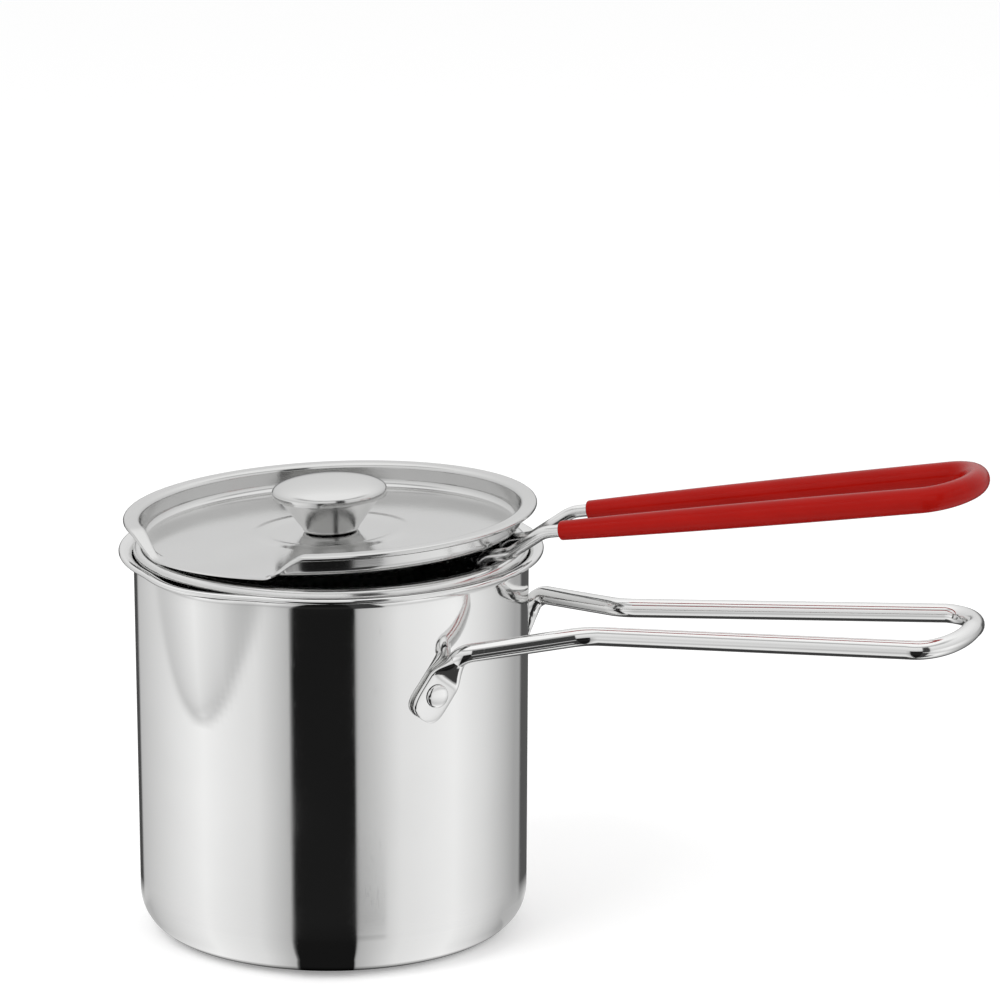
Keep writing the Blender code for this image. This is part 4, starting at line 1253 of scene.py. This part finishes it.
def add_floor():
    """White floor that keeps the shadow. Only steel close above it mirrors it, and it mirrors not the white
    but a painted reflection with a painted contact shadow, which the floor glows for glossy rays.
    """
    bpy.ops.mesh.primitive_plane_add(size=FLOOR_SIZE, location=(0, 0, -FLOOR_DROP))
    floor = bpy.context.object
    floor.name = "floor"
    material = bpy.data.materials.new("pale_floor_painted_reflection")
    material.use_nodes = True
    tree = material.node_tree
    tree.nodes.clear()
    paths = add_node(tree, "ShaderNodeLightPath")
    matt = add_node(tree, "ShaderNodeBsdfDiffuse", {"Color": plain_grey(FLOOR_COLOUR)})
    lift = add_node(tree, "ShaderNodeEmission")
    seen = calculate(tree, "MULTIPLY", paths.outputs["Is Camera Ray"], FLOOR_LIFT)
    socket(tree, lift.inputs["Strength"], seen)
    lit = add_node(tree, "ShaderNodeAddShader")
    tree.links.new(matt.outputs[0], lit.inputs[0])
    tree.links.new(lift.outputs[0], lit.inputs[1])

    # Glossy rays close to the floor see the painted reflection and painted contact shadow glowing; farther
    # ones pass through to the world
    close = spread_to(tree, paths.outputs["Ray Length"], *PAINTED_REFLECTION_FADE, 1.0, 0.0)
    through = add_node(tree, "ShaderNodeBsdfTransparent")
    glossy = mixed_shader(tree, close, through, painted_floor_reflection(tree))
    surface = mixed_shader(tree, paths.outputs["Is Glossy Ray"], lit, glossy)
    output = add_node(tree, "ShaderNodeOutputMaterial")
    tree.links.new(surface.outputs[0], output.inputs["Surface"])
    floor.data.materials.append(material)
    floor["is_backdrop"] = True


def direction_at(azimuth, elevation):
    """Direction away from the object at an angle round it and an angle up, in degrees."""
    turn = math.radians(azimuth)
    rise = math.radians(elevation)
    return Vector((math.sin(turn) * math.cos(rise), -math.cos(turn) * math.cos(rise), math.sin(rise)))


def add_lamp(name, azimuth, elevation, distance, size, power):
    data = bpy.data.lights.new(name, "AREA")
    data.energy = power
    data.size = size
    lamp = bpy.data.objects.new(name, data)
    bpy.context.scene.collection.objects.link(lamp)
    away = direction_at(CAMERA_AZIMUTH + azimuth, elevation)
    lamp.location = Vector((LAMP_AIM_REACH, 0, POT_HEIGHT / 2)) + away * distance
    lamp.rotation_euler = away.to_track_quat("Z", "Y").to_euler()
    lamp.visible_glossy = False


def add_camera():
    turn = math.radians(CAMERA_AZIMUTH)
    back = direction_at(CAMERA_AZIMUTH, CAMERA_ELEVATION)
    right = Vector((math.cos(turn), math.sin(turn), 0))
    up = back.cross(right)
    mouth = Vector((0, 0, POT_HEIGHT))
    middle = IMAGE_SIDE / 2
    aim = mouth + right * (middle - MOUTH_PIXEL[0]) * METRES_PER_PIXEL
    aim += up * (MOUTH_PIXEL[1] - middle) * METRES_PER_PIXEL
    data = bpy.data.cameras.new("camera")
    data.sensor_width = SENSOR_WIDTH
    data.lens = SENSOR_WIDTH * CAMERA_DISTANCE / (IMAGE_SIDE * METRES_PER_PIXEL)
    data.clip_end = CLIP_END
    camera = bpy.data.objects.new("camera", data)
    bpy.context.scene.collection.objects.link(camera)
    camera.location = mouth + back * CAMERA_DISTANCE
    camera.rotation_euler = (camera.location - aim).to_track_quat("Z", "Y").to_euler()
    bpy.context.scene.camera = camera


def dress_fixings(finish):
    for name in ("knob_nut", "knob_washer", "knob_screw"):
        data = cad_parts[name].data
        data.materials.clear()
        data.materials.append(finish)


bpy.context.scene.view_settings.view_transform = "Standard"
world_light()
add_floor()
add_lamp("key", azimuth=-50, elevation=48, distance=1.6, size=0.9, power=9)
add_lamp("fill", azimuth=70, elevation=35, distance=1.8, size=1.0, power=5)
add_camera()

POLISHED = steel(
    "polished_steel_look",
    dark=(0.76, 0.76, 0.755),
    light=(0.83, 0.83, 0.825),
    smooth=0.05,
    rough=0.10,
    line_scale=(6.0, 5200.0, 5200.0),
    line_depth=0.0000016,
)
SATIN = steel(
    "satin_steel_look",
    dark=(0.70, 0.70, 0.695),
    light=(0.79, 0.79, 0.785),
    smooth=0.14,
    rough=0.22,
    line_scale=(9.0, 4200.0, 4200.0),
    line_depth=0.000004,
)
SPUN = steel(
    "spun_steel_look",
    dark=(0.60, 0.60, 0.595),
    light=(0.72, 0.72, 0.715),
    smooth=0.10,
    rough=0.17,
    line_scale=(5.0, 3000.0, 3000.0),
    line_depth=0.0000045,
)
ZINC = zinc("zinc_look")
VINYL = vinyl("red_vinyl_look")

build_pot(POLISHED)
build_pot_handle(POLISHED)
build_rivets(POLISHED)

BASKET_SEAT = Matrix.Translation((0, 0, BASKET_RIM_HEIGHT))
build_basket(SATIN, BASKET_SEAT)
build_wire(SATIN, BASKET_SEAT)
build_grip(VINYL, BASKET_SEAT)

LID_SEAT = lid_seat()
build_lid(SPUN, LID_SEAT)
build_knob(SPUN, LID_SEAT)
dress_fixings(ZINC)

new_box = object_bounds()
boxes = {"cad": CAD_BOX, "visual": new_box}
{name: [list(corner) for corner in box] for name, box in boxes.items()}
